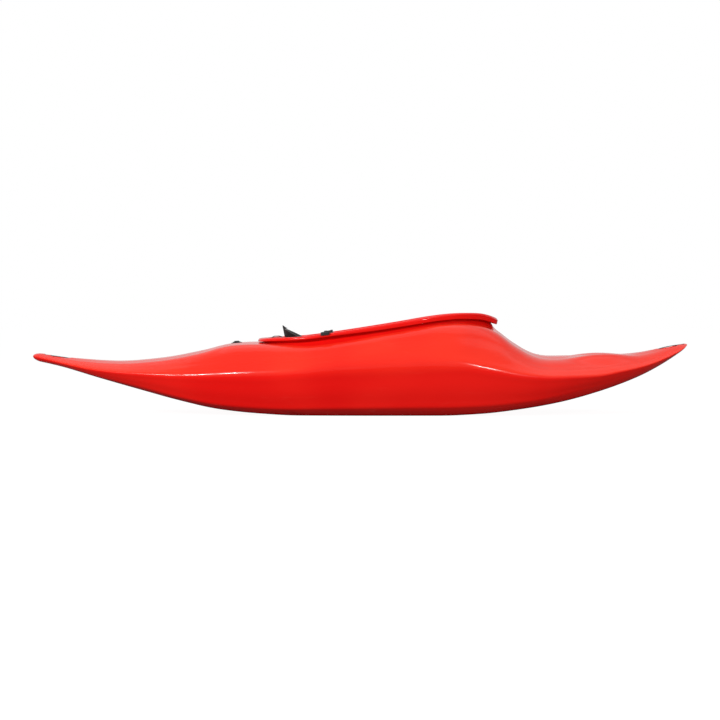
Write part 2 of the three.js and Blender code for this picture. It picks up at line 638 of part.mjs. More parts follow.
// A rod across the boat, or an upright one, at a place in plan or in side view
const acrossRod = (radius, x, z, from, to, sides) => rod(radius, [x, from, z], [x, to, z], sides);
const uprightRod = (radius, x, y, from, to, sides) => rod(radius, [x, y, from], [x, y, to], sides);

const planes = {
  xy: { basis: [[1, 0, 0], [0, 1, 0], [0, 0, 1]], start: (from) => [0, 0, from] },
  xz: { basis: [[1, 0, 0], [0, 0, 1], [0, -1, 0]], start: (from, to) => [0, to, 0] },
};

// An outline drawn in one of the planes and given a thickness across it
function extrude(plane, outline, from, to, holes = []) {
  const shape = new THREE.Shape(outline.map((p) => new THREE.Vector2(...p)));
  shape.holes = holes.map((hole) => new THREE.Path(hole.map((p) => new THREE.Vector2(...p))));
  const geometry = new THREE.ExtrudeGeometry(shape, { depth: to - from, bevelEnabled: false });
  const basis = planes[plane].basis.map((axis) => new THREE.Vector3(...axis));
  geometry.applyMatrix4(new THREE.Matrix4().makeBasis(...basis));
  return toManifold(geometry.translate(...planes[plane].start(from, to)));
}

function roundedBox(low, high, radius, steps = 3) {
  const corners = [[high[0], high[1]], [low[0], high[1]], [low[0], low[1]], [high[0], low[1]]];
  return corners.flatMap(([x, y], i) => {
    const middle = [x === high[0] ? x - radius : x + radius, y === high[1] ? y - radius : y + radius];
    return Array.from({ length: steps + 1 }, (_, k) => {
      const angle = (Math.PI / 2) * (i + k / steps);
      return [middle[0] + radius * Math.cos(angle), middle[1] + radius * Math.sin(angle)];
    });
  });
}

// The outline of a strip of even thickness along a line
function ribbon(points, thickness) {
  const side = (sign) => points.map((point, i) => {
    const before = points[Math.max(i - 1, 0)];
    const after = points[Math.min(i + 1, points.length - 1)];
    const run = [after[0] - before[0], after[1] - before[1]];
    const reach = (sign * thickness) / 2 / Math.hypot(...run);
    return [point[0] - run[1] * reach, point[1] + run[0] * reach];
  });
  return [...side(-1), ...side(1).reverse()];
}

// A line with each of its corners rounded over a run on both sides of it
function roundedLine(points, run, steps = 3) {
  return points.flatMap((corner, i) => {
    if (i === 0 || i === points.length - 1) return [corner];
    const toward = (other) => {
      const size = Math.hypot(other[0] - corner[0], other[1] - corner[1]);
      return corner.map((value, axis) => lerp(value, other[axis], run / size));
    };
    const [from, to] = [toward(points[i - 1]), toward(points[i + 1])];
    return Array.from({ length: steps + 1 }, (_, k) => {
      const t = k / steps;
      return corner.map((value, axis) => lerp(lerp(from[axis], value, t), lerp(value, to[axis], t), t));
    });
  });
}

// The outline of a hand knob
function knobOutline([a, b], radius) {
  const count = 4 * knobLobes;
  return Array.from({ length: count }, (_, i) => {
    const angle = (2 * Math.PI * i) / count;
    const reach = radius * (1 - (knobHollowShare * (1 - Math.cos(knobLobes * angle))) / 2);
    return [a + reach * Math.cos(angle), b + reach * Math.sin(angle)];
  });
}

// A solid between two surfaces that are drawn over the same grid
function between(front, back, across, along) {
  const positions = [];
  for (const surface of [front, back]) {
    for (let i = 0; i <= across; i += 1) {
      for (let k = 0; k <= along; k += 1) positions.push(...surface(i / across, k / along));
    }
  }
  const row = along + 1;
  const other = row * (across + 1);
  const triangles = [];
  const quad = (a, b, c, d) => triangles.push(a, b, c, a, c, d);
  for (let i = 0; i < across; i += 1) {
    for (let k = 0; k < along; k += 1) {
      const a = i * row + k;
      quad(a, a + 1, a + row + 1, a + row);
      quad(other + a, other + a + row, other + a + row + 1, other + a + 1);
    }
    const last = i * row + along;
    quad(i * row, i * row + row, other + i * row + row, other + i * row);
    quad(last, other + last, other + last + row, last + row);
  }
  for (let k = 0; k < along; k += 1) {
    const last = across * row + k;
    quad(k, other + k, other + k + 1, k + 1);
    quad(last, last + 1, other + last + 1, other + last);
  }
  const starts = triangles.keys().filter((i) => i % 3 === 0);
  const flipped = [...starts].flatMap((i) => [triangles[i], triangles[i + 2], triangles[i + 1]]);
  const made = fromArrays(positions, triangles);
  return made.volume() > 0 ? made : fromArrays(positions, flipped);
}

// How far a cushion has swelled at a share of its width: a low power is a soft dome, a
// high one a flat top with tight edges
const crown = (t, power) => 1 - Math.abs(2 * t - 1) ** power;
const swell = { dome: 2, soft: 4, tight: 6 };
const mirrored = (solid) => solid.mirror([0, 1, 0]);

// Reads a height off a line of points with rising first values
function readLine(line, at) {
  const k = Math.min(Math.max(1, line.findIndex((p) => p[0] >= at)), line.length - 1);
  return lerp(line[k - 1][1], line[k][1], (at - line[k - 1][0]) / (line[k][0] - line[k - 1][0]));
}

const kayak = new THREE.Group();
const put = (name, solid) => kayak.add(toMesh(name, solid));

function putPair(name, solid) {
  put(name + "_left", solid);
  put(name + "_right", mirrored(solid));
}

put("hull_shell", hullShell());

// Seat
const seatSide = COCKPIT.width / 2 - RIM.reach - RIM.neckWall - SEAT_ROOM.beside;
const wingTop = deckHeight(ahead(SEAT.flatRear), seatSide, WALL) - SEAT_ROOM.belowDeck;
const [seatRear, seatFront] = [ahead(SEAT.rear), ahead(SEAT.front)];
const [flatRear, flatFront] = [ahead(SEAT.flatRear), ahead(SEAT.flatFront)];
const boltHeight = wingTop - SEAT_BOLT_PLACES.belowWing;
const boltPlaces = [ahead(SEAT_BOLT_PLACES.rear), ahead(SEAT_BOLT_PLACES.front)];
const seatStations = [
  ...seatRearShares.map((share) => lerp(flatRear, seatRear, share)),
  lerp(flatRear, flatFront, 1 / 8),
  ...seatFrontShares.map((share) => lerp(flatFront, seatFront, share)),
];
const seatUnderLine = seatStations.map((x) => {
  const rear = Math.max(0, (flatRear - x) / (flatRear - seatRear));
  const front = Math.max(0, (x - flatFront) / (seatFront - flatFront));
  return [x, SEAT.under + SEAT_RISE.rear * rear ** 2 + SEAT_RISE.front * front ** 2];
});
const seatUnder = (x) => readLine(seatUnderLine, x);
const wingRise = guide(wingShares);

function seatHalf(x, inset) {
  const under = seatUnder(x) + inset;
  const half = seatSide - inset;
  const side = seatSideShares.map(([out, rise]) => [out * half, under + rise * (SEAT.turnUp - inset)]);
  const turnedUp = side[side.length - 1][1];
  const rise = wingRise((x - seatRear) / (seatFront - seatRear)) * (wingTop - SEAT.turnUp - SEAT.under);
  const top = turnedUp + inset / 2 + rise;
  return [...side, [half, lerp(turnedUp, top, 1 / 2)], [half, top]];
}

function seatPoint(x, share, inset) {
  const half = seatHalf(x, inset);
  const k = Math.round(Math.abs(share) * (half.length - 1));
  return [x, Math.sign(share) * half[k][0], half[k][1]];
}

const bandPivot = { x: ahead(BAND_PIVOT.ahead), z: SEAT.under + BAND_PIVOT.aboveSeat };

// The slots let the seat slide past its bolts
function seatPan() {
  const runs = seatStations.length - 1;
  const steps = seatHalf(seatRear, 0).length - 1;
  const surface = (inset) => (u, v) => seatPoint(seatStations[Math.round(u * runs)], 2 * v - 1, inset);
  const pan = between(surface(0), surface(SEAT.wall), runs, 2 * steps);
  const [inner, outer] = [seatSide - 2 * SEAT.wall, seatSide + SEAT.wall];
  const half = SEAT_BOLT.shaft + RUNNING / 2;
  const cuts = boltPlaces.map((x) => {
    const low = [x - SEAT_TRAVEL.forward - half - RUNNING, boltHeight - half];
    const high = [x + SEAT_TRAVEL.aft + half + RUNNING, boltHeight + half];
    return extrude("xz", roundedBox(low, high, half - SLIVER), inner, outer);
  });
  cuts.push(acrossRod(BAND_PIVOT.shaft + FIT, bandPivot.x, bandPivot.z, inner, outer));
  return cuts.reduce((made, cut) => made.subtract(cut).subtract(mirrored(cut)), pan);
}

const seatFloor = (x, y) => readLine(seatHalf(x, SEAT.wall), Math.abs(y));
const seatWallLine = seatHalf(flatFront, SEAT.wall).map(([y, height]) => [height, y]).slice(2);
const seatWall = (z) => readLine(seatWallLine, z);

function seatPad() {
  const half = seatSide - SEAT_PAD.margin;
  const place = (u, v) => {
    const waist = 1 - seatPadWaistShare * (2 * u - 1) ** 2;
    return [lerp(ahead(SEAT_PAD.rear), ahead(SEAT_PAD.front), u), lerp(-half, half, v) * waist];
  };
  const under = (u, v) => {
    const [x, y] = place(u, v);
    return [x, y, seatFloor(x, y) + FIT];
  };
  const over = (u, v) => {
    const [x, y] = place(u, v);
    const off = (Math.abs(y) - SEAT_GROOVE.side) / SEAT_GROOVE.width;
    const dip = SEAT_GROOVE.depth * Math.exp(-off * off) * lerp(seatGrooveEndShare, 1, u);
    const heel = SEAT_PAD.heel * crown(v, swell.soft) * (1 - u) ** 3;
    const rise = SEAT_PAD.rim + (SEAT_PAD.crown - dip) * crown(u, swell.soft) * crown(v, swell.tight) + heel;
    return [x, y, seatFloor(x, y) + FIT + rise];
  };
  return between(over, under, 10, 15);
}

function legLifter() {
  const half = seatSide - LIFTER.margin;
  const { lean, side, edge } = lifterShares;
  const place = (u, v, height) => {
    const rear = ahead(LIFTER.rear) + lean * height;
    const front = ahead(LIFTER.front) - LIFTER.cornerDraw * (2 * v - 1) ** 4;
    return [lerp(rear, front, u), lerp(-half, half, v)];
  };
  const lifted = (u, v, height) => {
    const [x, y] = place(u, v, height);
    return [x, y, seatFloor(x, y) + FIT + height];
  };
  const over = (u, v) => {
    const height = LIFTER.rise + LIFTER.crown * u;
    return lifted(u, v, height * lerp(side, 1, crown(v, swell.tight)) * lerp(edge, 1, crown(u, swell.soft)));
  };
  return between(over, (u, v) => lifted(u, v, 0), 7, 12);
}

function hipPad() {
  const low = SEAT.under + HIP_PAD.aboveSeat;
  const high = wingTop - HIP_PAD.belowWing;
  const place = (u, v, inboard) => {
    const z = lerp(low, high, v);
    return [lerp(ahead(HIP_PAD.rear), ahead(HIP_PAD.front), u), seatWall(z) - FIT - inboard, z];
  };
  const inboard = (u, v) => {
    const full = HIP_PAD.crown * crown(u, swell.soft) * crown(v, swell.soft);
    return place(u, v, HIP_PAD.rim + full * lerp(1, hipPadTopShare, v));
  };
  return between((u, v) => place(u, v, 0), inboard, 8, 8);
}

function seatRunner() {
  const [inside, outside] = runnerSideShares.map((share) => share * seatSide);
  return block([ahead(RUNNER.rear), inside, WALL + FIT], [ahead(RUNNER.front), outside, SEAT.under - FIT]);
}

function seatHanger() {
  const side = seatSide + RUNNING;
  const low = [ahead(HANGER.rear), side, wingTop - HANGER.belowWing];
  const high = [ahead(HANGER.front), side + HANGER.thickness, DECK_HEIGHT];
  const hanger = block(low, high).intersect(cavity(FIT));
  const holes = boltPlaces.map((x) => {
    return acrossRod(SEAT_BOLT.shaft + FIT, x, boltHeight, side - RUNNING, side + 2 * HANGER.thickness);
  });
  return holes.reduce((made, hole) => made.subtract(hole), hanger);
}

function seatBolt(x) {
  const inner = seatSide - SEAT.wall - FIT;
  const outer = seatSide + RUNNING + HANGER.thickness + FIT;
  return acrossRod(SEAT_BOLT.shaft, x, boltHeight, inner - RUNNING, outer + RUNNING)
    .add(extrude("xz", knobOutline([x, boltHeight], SEAT_BOLT.knob), inner - SEAT_BOLT.knobDepth, inner))
    .add(acrossRod(SEAT_BOLT.nut, x, boltHeight, outer, outer + SEAT_BOLT.nutDepth, SIDES.nut));
}

put("seat_pan", seatPan());
put("seat_pad", seatPad());
put("leg_lifter", legLifter());
putPair("hip_pad", hipPad());
putPair("seat_runner", seatRunner());
putPair("seat_hanger", seatHanger());
putPair("seat_bolt_rear", seatBolt(boltPlaces[0]));
putPair("seat_bolt_front", seatBolt(boltPlaces[1]));

// Places of the toothed strap, which lies just inboard of the clip on the rim
const clipMiddle = ahead(CLIP.ahead);
const strap = { outside: neckHalf(clipMiddle) + rimInside - CLIP.wall - STRAP_PLACE.besideClip };
strap.root = strap.outside - STRAP.thickness;
strap.inside = strap.root - STRAP.tooth;
strap.middle = crestHeight(clipMiddle) - STRAP_PLACE.belowRim;
strap.low = strap.middle - STRAP.width / 2;
strap.high = strap.middle + STRAP.width / 2;
const strapPin = { x: ahead(STRAP_PIN.ahead), earOutside: strap.inside - STRAP_EAR.gap };
strapPin.earInside = strapPin.earOutside - STRAP_EAR.thickness;

// Back band
const bandInside = seatSide - BAND.insideSeat;
const bandMiddle = ahead(BAND.rear) + bandInside;
const bandLow = bandPivot.z + BAND.abovePivot;
const bandHigh = crestHeight(neckRear) + BAND.aboveRim;
const bandRadius = (z) => bandInside + (BAND.lean * (z - bandLow)) / (bandHigh - bandLow);
const bandBack = (z) => bandMiddle - bandRadius(z) - BAND.wall;
const earOutside = seatSide - SEAT.wall - BAND_EAR.besideSeat;
const earInside = earOutside - BAND_EAR.thickness;

function bandPoint(share, v, inward, margin = 0) {
  const angle = (THREE.MathUtils.degToRad(bandHalfAngle) - margin / bandInside) * share;
  const low = bandLow - BAND_EDGE_DROP.low * share ** 2 + margin;
  const high = bandHigh - BAND_EDGE_DROP.high * share ** 2 - margin;
  const z = lerp(low, high, v);
  const radius = bandRadius(z) - inward;
  return [bandMiddle - radius * Math.cos(angle), radius * Math.sin(angle), z];
}

// The tab stands up at the middle of the band's back
function bandTab() {
  const places = tabShares.map((share) => bandBack(bandHigh) + share * BAND.wall);
  const [footAft, footFore, topFore, topAft] = places;
  const [low, high] = [bandHigh - BAND_TAB.root, bandHigh + BAND_TAB.above];
  const outline = [[footAft, low], [footFore, low], [topFore, high], [topAft, high]];
  return extrude("xz", outline, -BAND_TAB.half, BAND_TAB.half);
}

// An arm down to the seat's side, and a web to the ear that holds the strap's pin
function bandArm() {
  const bite = BAND_ARM.thickness / 2;
  const { x, z } = bandPivot;
  const end = bandPoint(1, bandArmShares.arm, -BAND.wall / 2);
  const line = [
    [end[0] + bite, end[1] - bite],
    [lerp(end[0], x, elbowShares.back), lerp(end[1], earInside, elbowShares.arm)],
    [x, earInside - BAND_ARM.thickness], [x, (earInside + earOutside) / 2],
  ];
  return extrude("xy", ribbon(line, BAND_ARM.thickness), z - BAND_ARM.height / 2, z + BAND_ARM.height / 2)
    .add(acrossRod(BAND_EAR.radius, x, z, earInside, earOutside, SIDES.pipe))
    .subtract(acrossRod(BAND_PIVOT.shaft + FIT, x, z, earInside - BAND_EAR.radius, earOutside + OVERRUN))
    .subtract(acrossRod(BAND_PIVOT.head + RUNNING, x, z, earInside - BAND_ARM.thickness, earInside));
}

function strapEar() {
  const { x, earInside: inside, earOutside: outside } = strapPin;
  const z = strap.middle;
  const half = STRAP_PIN.shaft + STRAP_SLOT.beside;
  const low = [x - half, z - STRAP_PIN.shaft - STRAP_SLOT.below];
  const slot = roundedBox(low, [x + half, z + STRAP_PIN.shaft + STRAP_SLOT.above], half - SLIVER);
  const { rear, front, half: tall, round } = STRAP_EAR;
  const outline = roundedBox([x - rear, z - tall], [x + front, z + tall], round);
  return extrude("xz", outline, inside, outside, [slot]);
}

function bandWeb() {
  const bite = BAND_WEB.thickness / 2;
  const upper = bandPoint(1, bandArmShares.web, -BAND.wall / 2);
  const ear = [strapPin.x + BAND_WEB.ahead, (strapPin.earInside + strapPin.earOutside) / 2];
  const elbow = [lerp(upper[0], ear[0], elbowShares.back), lerp(upper[1], ear[1], elbowShares.web)];
  const line = [[upper[0] + bite, upper[1] - bite], elbow, ear];
  const [low, high] = [strap.middle - STRAP_EAR.half, strap.middle + BAND_WEB.above];
  return extrude("xy", ribbon(line, BAND_WEB.thickness), low, high);
}

function bandShell() {
  const surface = (inward) => (u, v) => bandPoint(2 * u - 1, v, inward);
  const side = bandArm().add(strapEar()).add(bandWeb());
  return between(surface(0), surface(-BAND.wall), 14, 4).add(bandTab()).add(side).add(mirrored(side));
}

function bandPad() {
  const back = (u, v) => bandPoint(2 * u - 1, v, 2 * FIT, BAND_PAD.margin);
  const front = (u, v) => {
    const rise = BAND_PAD.rim + BAND_PAD.crown * crown(u, swell.soft) * crown(v, swell.soft);
    return bandPoint(2 * u - 1, v, 2 * FIT + rise, BAND_PAD.margin);
  };
  return between(back, front, 14, 7);
}

function bandLoop() {
  const [low, high] = loopSpanShares.map((share) => lerp(bandLow, bandHigh, share));
  const line = loopShares.map(([out, rise]) => {
    const z = lerp(low, high, rise);
    return [bandBack(z) - FIT - BAND_LOOP.thickness / 2 - out * BAND_LOOP.reach, z];
  });
  return extrude("xz", ribbon(line, BAND_LOOP.thickness), -BAND_LOOP.half, BAND_LOOP.half);
}

function bandPin() {
  const { shaft, head, headDepth } = BAND_PIVOT;
  const { x, z } = bandPivot;
  const [inner, outer] = [earInside - FIT, seatSide + FIT];
  return acrossRod(shaft, x, z, inner - RUNNING, outer + RUNNING)
    .add(acrossRod(head, x, z, inner - headDepth, inner))
    .add(acrossRod(head, x, z, outer, outer + headDepth));
}

put("backband_shell", bandShell());
put("backband_pad", bandPad());
put("backband_loop", bandLoop());
putPair("backband_pin", bandPin());

// Toothed straps and ratchets
const ratchet = { rear: clipMiddle - RATCHET.rear, front: clipMiddle + RATCHET.front };
ratchet.outside = strap.outside + RUNNING;
ratchet.inside = ratchet.outside - RATCHET.depth;
ratchet.low = strap.low - RUNNING;
ratchet.high = strap.high + RUNNING;
const leverAt = [clipMiddle + LEVER.ahead, strap.inside - LEVER.eye - RUNNING];

function ladderStrap() {
  const { pitch } = STRAP;
  const rear = strapPin.x - STRAP_PIN.fromEnd;
  const front = rear + STRAP.run;
  const first = ratchet.rear - STRAP_PIN.lead * pitch;
  const teeth = [];
  for (let x = first; x < front - pitch; x += pitch) {
    teeth.push([x, strap.inside], [x + pitch / 4, strap.inside], [x + (3 * pitch) / 4, strap.root]);
  }
  const neck = strap.root - STRAP.neck;
  const outline = [
    [rear, strap.outside], [rear, neck], [first - pitch / 3, neck], ...teeth,
    [front, strap.root], [front, strap.outside],
  ];
  const { shaft, head, headDepth } = STRAP_PIN;
  const [x, z, seat] = [strapPin.x, strap.middle, strapPin.earInside - FIT];
  return extrude("xy", outline, strap.low, strap.high)
    .add(acrossRod(shaft, x, z, seat - RUNNING, strap.outside - RUNNING))
    .add(acrossRod(head, x, z, seat - headDepth, seat));
}

// The clip over the rim, with a ridge across each of its ends
function ratchetClip() {
  const { over, wall, hook, arm, bevel, width } = CLIP;
  const [inner, outer] = [rimInside, RIM.reach + FIT];
  const [rear, front] = [clipMiddle - width / 2, clipMiddle + width / 2];
  const profile = [
    [inner - wall, -arm], [inner - wall, over - bevel], [inner - wall + bevel, over],
    [outer + wall - bevel, over], [outer + wall, over - bevel], [outer + wall, -hook],
    [outer, -hook], [outer, FIT], [inner, FIT], [inner, -arm],
  ];
  const top = [
    [inner - wall + bevel, over - bevel], [inner - wall + bevel, over + CLIP_RIDGE.rise],
    [outer + wall - bevel, over + CLIP_RIDGE.rise], [outer + wall - bevel, over - bevel],
  ];
  const ends = [[rear, rear + CLIP_RIDGE.run], [front - CLIP_RIDGE.run, front]];
  const ridges = ends.map(([from, to]) => rimSweep(turnsBetween(from, to, 1), top, undefined, false));
  return rimSweep(turnsBetween(rear, front, 3), profile, undefined, false).add(ridges[0]).add(ridges[1]);
}

function ratchetBody() {
  const { base, cheek, bridge } = RATCHET;
  const { rear, front, inside, outside, low, high } = ratchet;
  const bite = CLIP.wall / 2;
  const [clipRear, clipFront] = [clipMiddle - CLIP.width / 2, clipMiddle + CLIP.width / 2];
  const neck = neckHalf(clipMiddle) + rimInside - bite;
  const outline = cheekShares.map(([along, across]) => {
    return [lerp(rear, front, along), lerp(inside, outside, across)];
  });
  const hole = LEVER.pin + FIT;
  return ratchetClip()
    .add(block([clipRear + bite, outside + RUNNING, high - bite], [clipFront - bite, neck, high + bridge]))
    .add(block([rear, outside, low - cheek], [front, outside + base, high + cheek]))
    .add(extrude("xy", outline, high, high + cheek))
    .add(extrude("xy", outline, low - cheek, low))
    .subtract(uprightRod(hole, ...leverAt, low - 2 * cheek, high + 2 * cheek));
}

function ratchetLever() {
  const { eye, pin, run, swing, thickness } = LEVER;
  const [x, y] = leverAt;
  const line = leverShares.map(([along, across]) => [x + along * run, y - across * swing]);
  return extrude("xy", ribbon(line, thickness), strap.low, strap.high)
    .add(uprightRod(eye, x, y, strap.low, strap.high, SIDES.pipe))
    .subtract(uprightRod(pin + FIT, x, y, strap.low - OVERRUN, strap.high + OVERRUN));
}

function ratchetPin() {
  const { pin } = LEVER;
  const low = ratchet.low - RATCHET.cheek - FIT;
  const high = ratchet.high + RATCHET.cheek + FIT;
  return uprightRod(pin, ...leverAt, low - RUNNING, high + RUNNING)
    .add(uprightRod(2 * pin, ...leverAt, low - pin, low))
    .add(uprightRod(2 * pin, ...leverAt, high, high + pin));
}

putPair("ladder_strap", ladderStrap());
putPair("ratchet_body", ratchetBody());
putPair("ratchet_lever", ratchetLever());
putPair("ratchet_pin", ratchetPin());

// Thigh braces. They lie in a plane that rises forward with the rim.
const [thighRear, thighFront] = thighBraceShares.map(alongCockpit);
const [mountRear, mountFront] = thighMountShares.map(alongCockpit);
const thighSlope = (crestHeight(mountFront) - crestHeight(mountRear)) / (mountFront - mountRear);
const thighKnobX = alongCockpit(thighKnobShare);
const thighKnobAt = [thighKnobX, neckHalf(thighKnobX) - THIGH_KNOB.inside];
const thighPlane = (x) => crestHeight(thighKnobX) + thighSlope * (x - thighKnobX) - THIGH_MOUNT.low;
const thighOuter = (x) => neckHalf(x + THIGH.travel + OVERRUN) - THIGH.gap;

// Tilts a solid that was drawn about a level of 0 into the braces' plane
function tilt(solid) {
  const shear = new THREE.Matrix4().set(1, 0, 0, 0, 0, 1, 0, 0, thighSlope, 0, 1, thighPlane(0), 0, 0, 0, 1);
  return solid.transform(shear.elements);
}

function thighMount() {
  const { wall, low, high, shelf, shelfThickness } = THIGH_MOUNT;
  const inner = rimInside - wall;
  const profile = [[inner, -low], [inner, -high], [rimInside, -high], [rimInside, -low]];
  const own = rimTurns(RIM_STEPS).filter((turn) => turn < Math.PI);
  const turns = own.filter((turn) => eggPoint(turn, 0)[0] > mountRear && eggPoint(turn, 0)[0] < mountFront);
  const flange = rimSweep(turns, profile, undefined, false);
  const [start, stop] = [turns[turns.length - 1], turns[0]].map((turn) => eggPoint(turn, rimInside)[0]);
  const steps = 6;
  const xs = Array.from({ length: steps + 1 }, (_, i) => lerp(start, stop, i / steps));
  const outer = xs.map((x) => [x, neckHalf(x) + rimInside - wall / 4]);
  const inside = xs.map((x, i) => {
    return [x, neckHalf(x) + inner - shelf * lerp(shelfEndShare, 1, crown(i / steps, swell.soft))];
  });
  const plate = tilt(extrude("xy", [...inside, ...outer.reverse()], 0, shelfThickness));
  return flange.add(plate).subtract(uprightRod(THIGH_KNOB.shaft + FIT, ...thighKnobAt, 0, 2 * DECK_HEIGHT));
}

// The brace's plate runs out flat from the rim and then hooks down over the thigh
function thighSurface(drop) {
  const { root, reach: full, flat, hook } = THIGH;
  return (u, v) => {
    const x = lerp(thighRear, thighFront, u);
    const reach = lerp(root, full, Math.sin(Math.PI * u) ** 0.8);
    const bend = Math.max(0, (reach * v - flat) / (full - flat));
    return [x, thighOuter(x) - reach * v, thighPlane(x) - FIT - drop - (hook * bend ** 2 * reach) / full];
  };
}

// The slot lets the brace slide past its knob
function thighBrace() {
  const plate = between(thighSurface(0), thighSurface(THIGH.wall), 14, 6);
  const [x, y] = thighKnobAt;
  const half = THIGH_KNOB.shaft + RUNNING / 2;
  const reach = THIGH.travel + half + RUNNING;
  const slot = roundedBox([x - reach, y - half], [x + reach, y + half], half - SLIVER);
  return plate.subtract(tilt(extrude("xy", slot, -4 * THIGH.wall, THIGH.wall)));
}

function thighPad() {
  const surface = thighSurface(THIGH.wall + RUNNING + FIT);
  const { along, across } = thighPadShares;
  const over = (u, v) => surface(lerp(...along, u), lerp(...across, v));
  const under = (u, v) => {
    const [x, y, z] = over(u, v);
    return [x, y, z - THIGH_PAD.rim - THIGH_PAD.crown * crown(u, swell.soft) * crown(v, swell.dome)];
  };
  return between(over, under, 14, 5);
}

function thighKnob() {
  const { shaft, knob, knobDepth, washer, washerDepth } = THIGH_KNOB;
  const centre = thighPlane(thighKnobX);
  const top = centre + THIGH_MOUNT.shelfThickness + FIT + knob * thighSlope;
  const under = centre - THIGH.wall - 2 * FIT - washer * thighSlope;
  return uprightRod(shaft, ...thighKnobAt, under - RUNNING, top + RUNNING)
    .add(extrude("xy", knobOutline(thighKnobAt, knob), top, top + knobDepth))
    .add(uprightRod(washer, ...thighKnobAt, under - washerDepth, under));
}

putPair("thigh_mount", thighMount());
putPair("thigh_brace", thighBrace());
putPair("thigh_pad", thighPad());
putPair("thigh_knob", thighKnob());

// Places of the foot plate and of its rails, which follow the inside of the shell
const plateRear = alongHull(footPlateShare);
const plateFront = plateRear + PLATE.thickness;
const railBend = plateRear - RAIL.bend;
const rail = { middle: sectionCorners(railBend)[3][1] - RAIL_PLACE.belowSheer };
rail.low = rail.middle - RAIL.width / 2;
rail.high = rail.middle + RAIL.width / 2;
rail.side = roomHalf(railBend, rail.low) - RAIL_PLACE.besideHull;
rail.inner = roomHalf(plateRear + PLATE.ahead, rail.middle) - PLATE.inset - RAIL_PLACE.besidePlate;
const railKnobX = plateRear - RAIL_KNOB.behind;
const bracketInside = rail.side - RAIL_BRACKET.inside;

function railBracket() {
  const [rear, front] = [plateRear - RAIL_BRACKET.rear, plateRear - RAIL_BRACKET.front];
  const [low, high] = [rail.middle - RAIL_BRACKET.half, rail.middle + RAIL_BRACKET.half];
  const half = RAIL.thickness / 2 + FIT;
  const slotLow = [rear - OVERRUN, rail.side - half, rail.low - FIT];
  return block([rear, bracketInside, low], [front, BEAM / 2, high])
    .intersect(cavity(FIT))
    .subtract(block(slotLow, [front + OVERRUN, rail.side + half, rail.high + FIT]))
    .subtract(acrossRod(RAIL_KNOB.shaft + FIT, railKnobX, rail.middle, bracketInside - OVERRUN, rail.side));
}

// A flat bar with a row of holes. It turns in to the plate's edge and ends in a tongue on its face.
function footRail() {
  const end = plateFront + FIT + RAIL.thickness / 2;
  const rear = plateRear - RAIL.rear;
  const tongue = rail.inner - RAIL_TONGUE.run;
  const corners = [[rear, rail.side], [railBend, rail.side], [end, rail.inner], [end, tongue]];
  const line = roundedLine(corners, RAIL_TONGUE.round);
  const bar = extrude("xy", ribbon(line, RAIL.thickness), rail.low, rail.high);
  const [inner, outer] = [rail.side - RAIL.thickness, rail.side + RAIL.thickness];
  const holes = [];
  for (let x = rear + RAIL_HOLES.pitch / 2; x < railBend - RAIL_TONGUE.round; x += RAIL_HOLES.pitch) {
    holes.push(acrossRod(RAIL_HOLES.radius, x, rail.middle, inner, outer, SIDES.hole));
  }
  return holes.reduce((made, hole) => made.subtract(hole), bar);
}

function railKnob() {
  const { shaft, knob, knobDepth } = RAIL_KNOB;
  const inside = bracketInside - FIT;
  const tip = rail.side - RAIL.thickness / 2 - FIT;
  return acrossRod(shaft, railKnobX, rail.middle, inside - RUNNING, tip)
    .add(extrude("xz", knobOutline([railKnobX, rail.middle], knob), inside - knobDepth, inside));
}

// The plate has the outline of the room ahead of it, so that it clears the shell as it slides
function plateRing(x, inset) {
  return sectionRing(plateRear + PLATE.ahead, WALL + inset, false).map(([, y, z]) => [x, y, z]);
}

function footPlate() {
  const notch = rail.inner - RAIL_TONGUE.notch;
  const low = [plateRear - OVERRUN, notch, rail.low - RUNNING];
  const cut = block(low, [plateFront + OVERRUN, BEAM / 2, rail.high + RUNNING]);
  return loft([plateRing(plateRear, PLATE.inset), plateRing(plateFront, PLATE.inset)])
    .subtract(cut)
    .subtract(mirrored(cut));
}

function footPad() {
  const { rim, crown: thick, inset, draw } = FOOT_PAD;
  const back = plateRear - FIT;
  const ring = (x, drawn) => plateRing(x, PLATE.inset + inset + drawn);
  const front = footPadShares.map(([out, drawn]) => ring(back - rim - out * thick, drawn * draw));
  return loft([...front, ring(back, 0)]);
}

function pillar(rear, front) {
  return block([rear, -PILLAR.half, 0], [front, PILLAR.half, DECK_HEIGHT]).intersect(cavity(FIT));
}

const pillarRear = handleMiddles[0] + HANDLE.half + PILLAR.fromSternHandle;
const pillarFront = handleMiddles[1] - HANDLE.half - PILLAR.fromBowHandle;
putPair("rail_bracket", railBracket());
putPair("foot_rail", footRail());
putPair("rail_knob", railKnob());
put("foot_plate", footPlate());
put("foot_pad", footPad());
put("rear_pillar", pillar(pillarRear, lipRear - PILLAR.behindRim));
put("front_pillar", pillar(plateRear + PILLAR.aheadOfPlate, pillarFront));

// Drain
function drainInsert() {
  const { hole, bore, flange, sink, depth } = DRAIN;
  const { bevel } = DRAIN_CAP;
  const [seat, top] = [FIT - sink, DRAIN_RISE.flange];
  const profile = [
    [bore, -depth], [hole - FIT, -depth], [hole - FIT, seat], [flange, seat], [flange, top - bevel / 2],
    [flange - bevel, top], [bore, top],
  ];
  return turned(profile, SIDES.pipe);
}

function drainSeal() {
  const [low, high] = [DRAIN_RISE.flange + FIT, DRAIN_RISE.seal];
  const inner = DRAIN.bore + DRAIN_SEAL.inside;
  const outer = inner + DRAIN_SEAL.width;
  const { shoulder } = DRAIN_SEAL;
  const profile = [
    [inner, (low + high) / 2], [inner + shoulder, low], [outer - shoulder, low],
    [outer, (low + high) / 2], [outer - shoulder, high], [inner + shoulder, high],
  ];
  return turned(profile, SIDES.pipe);
}

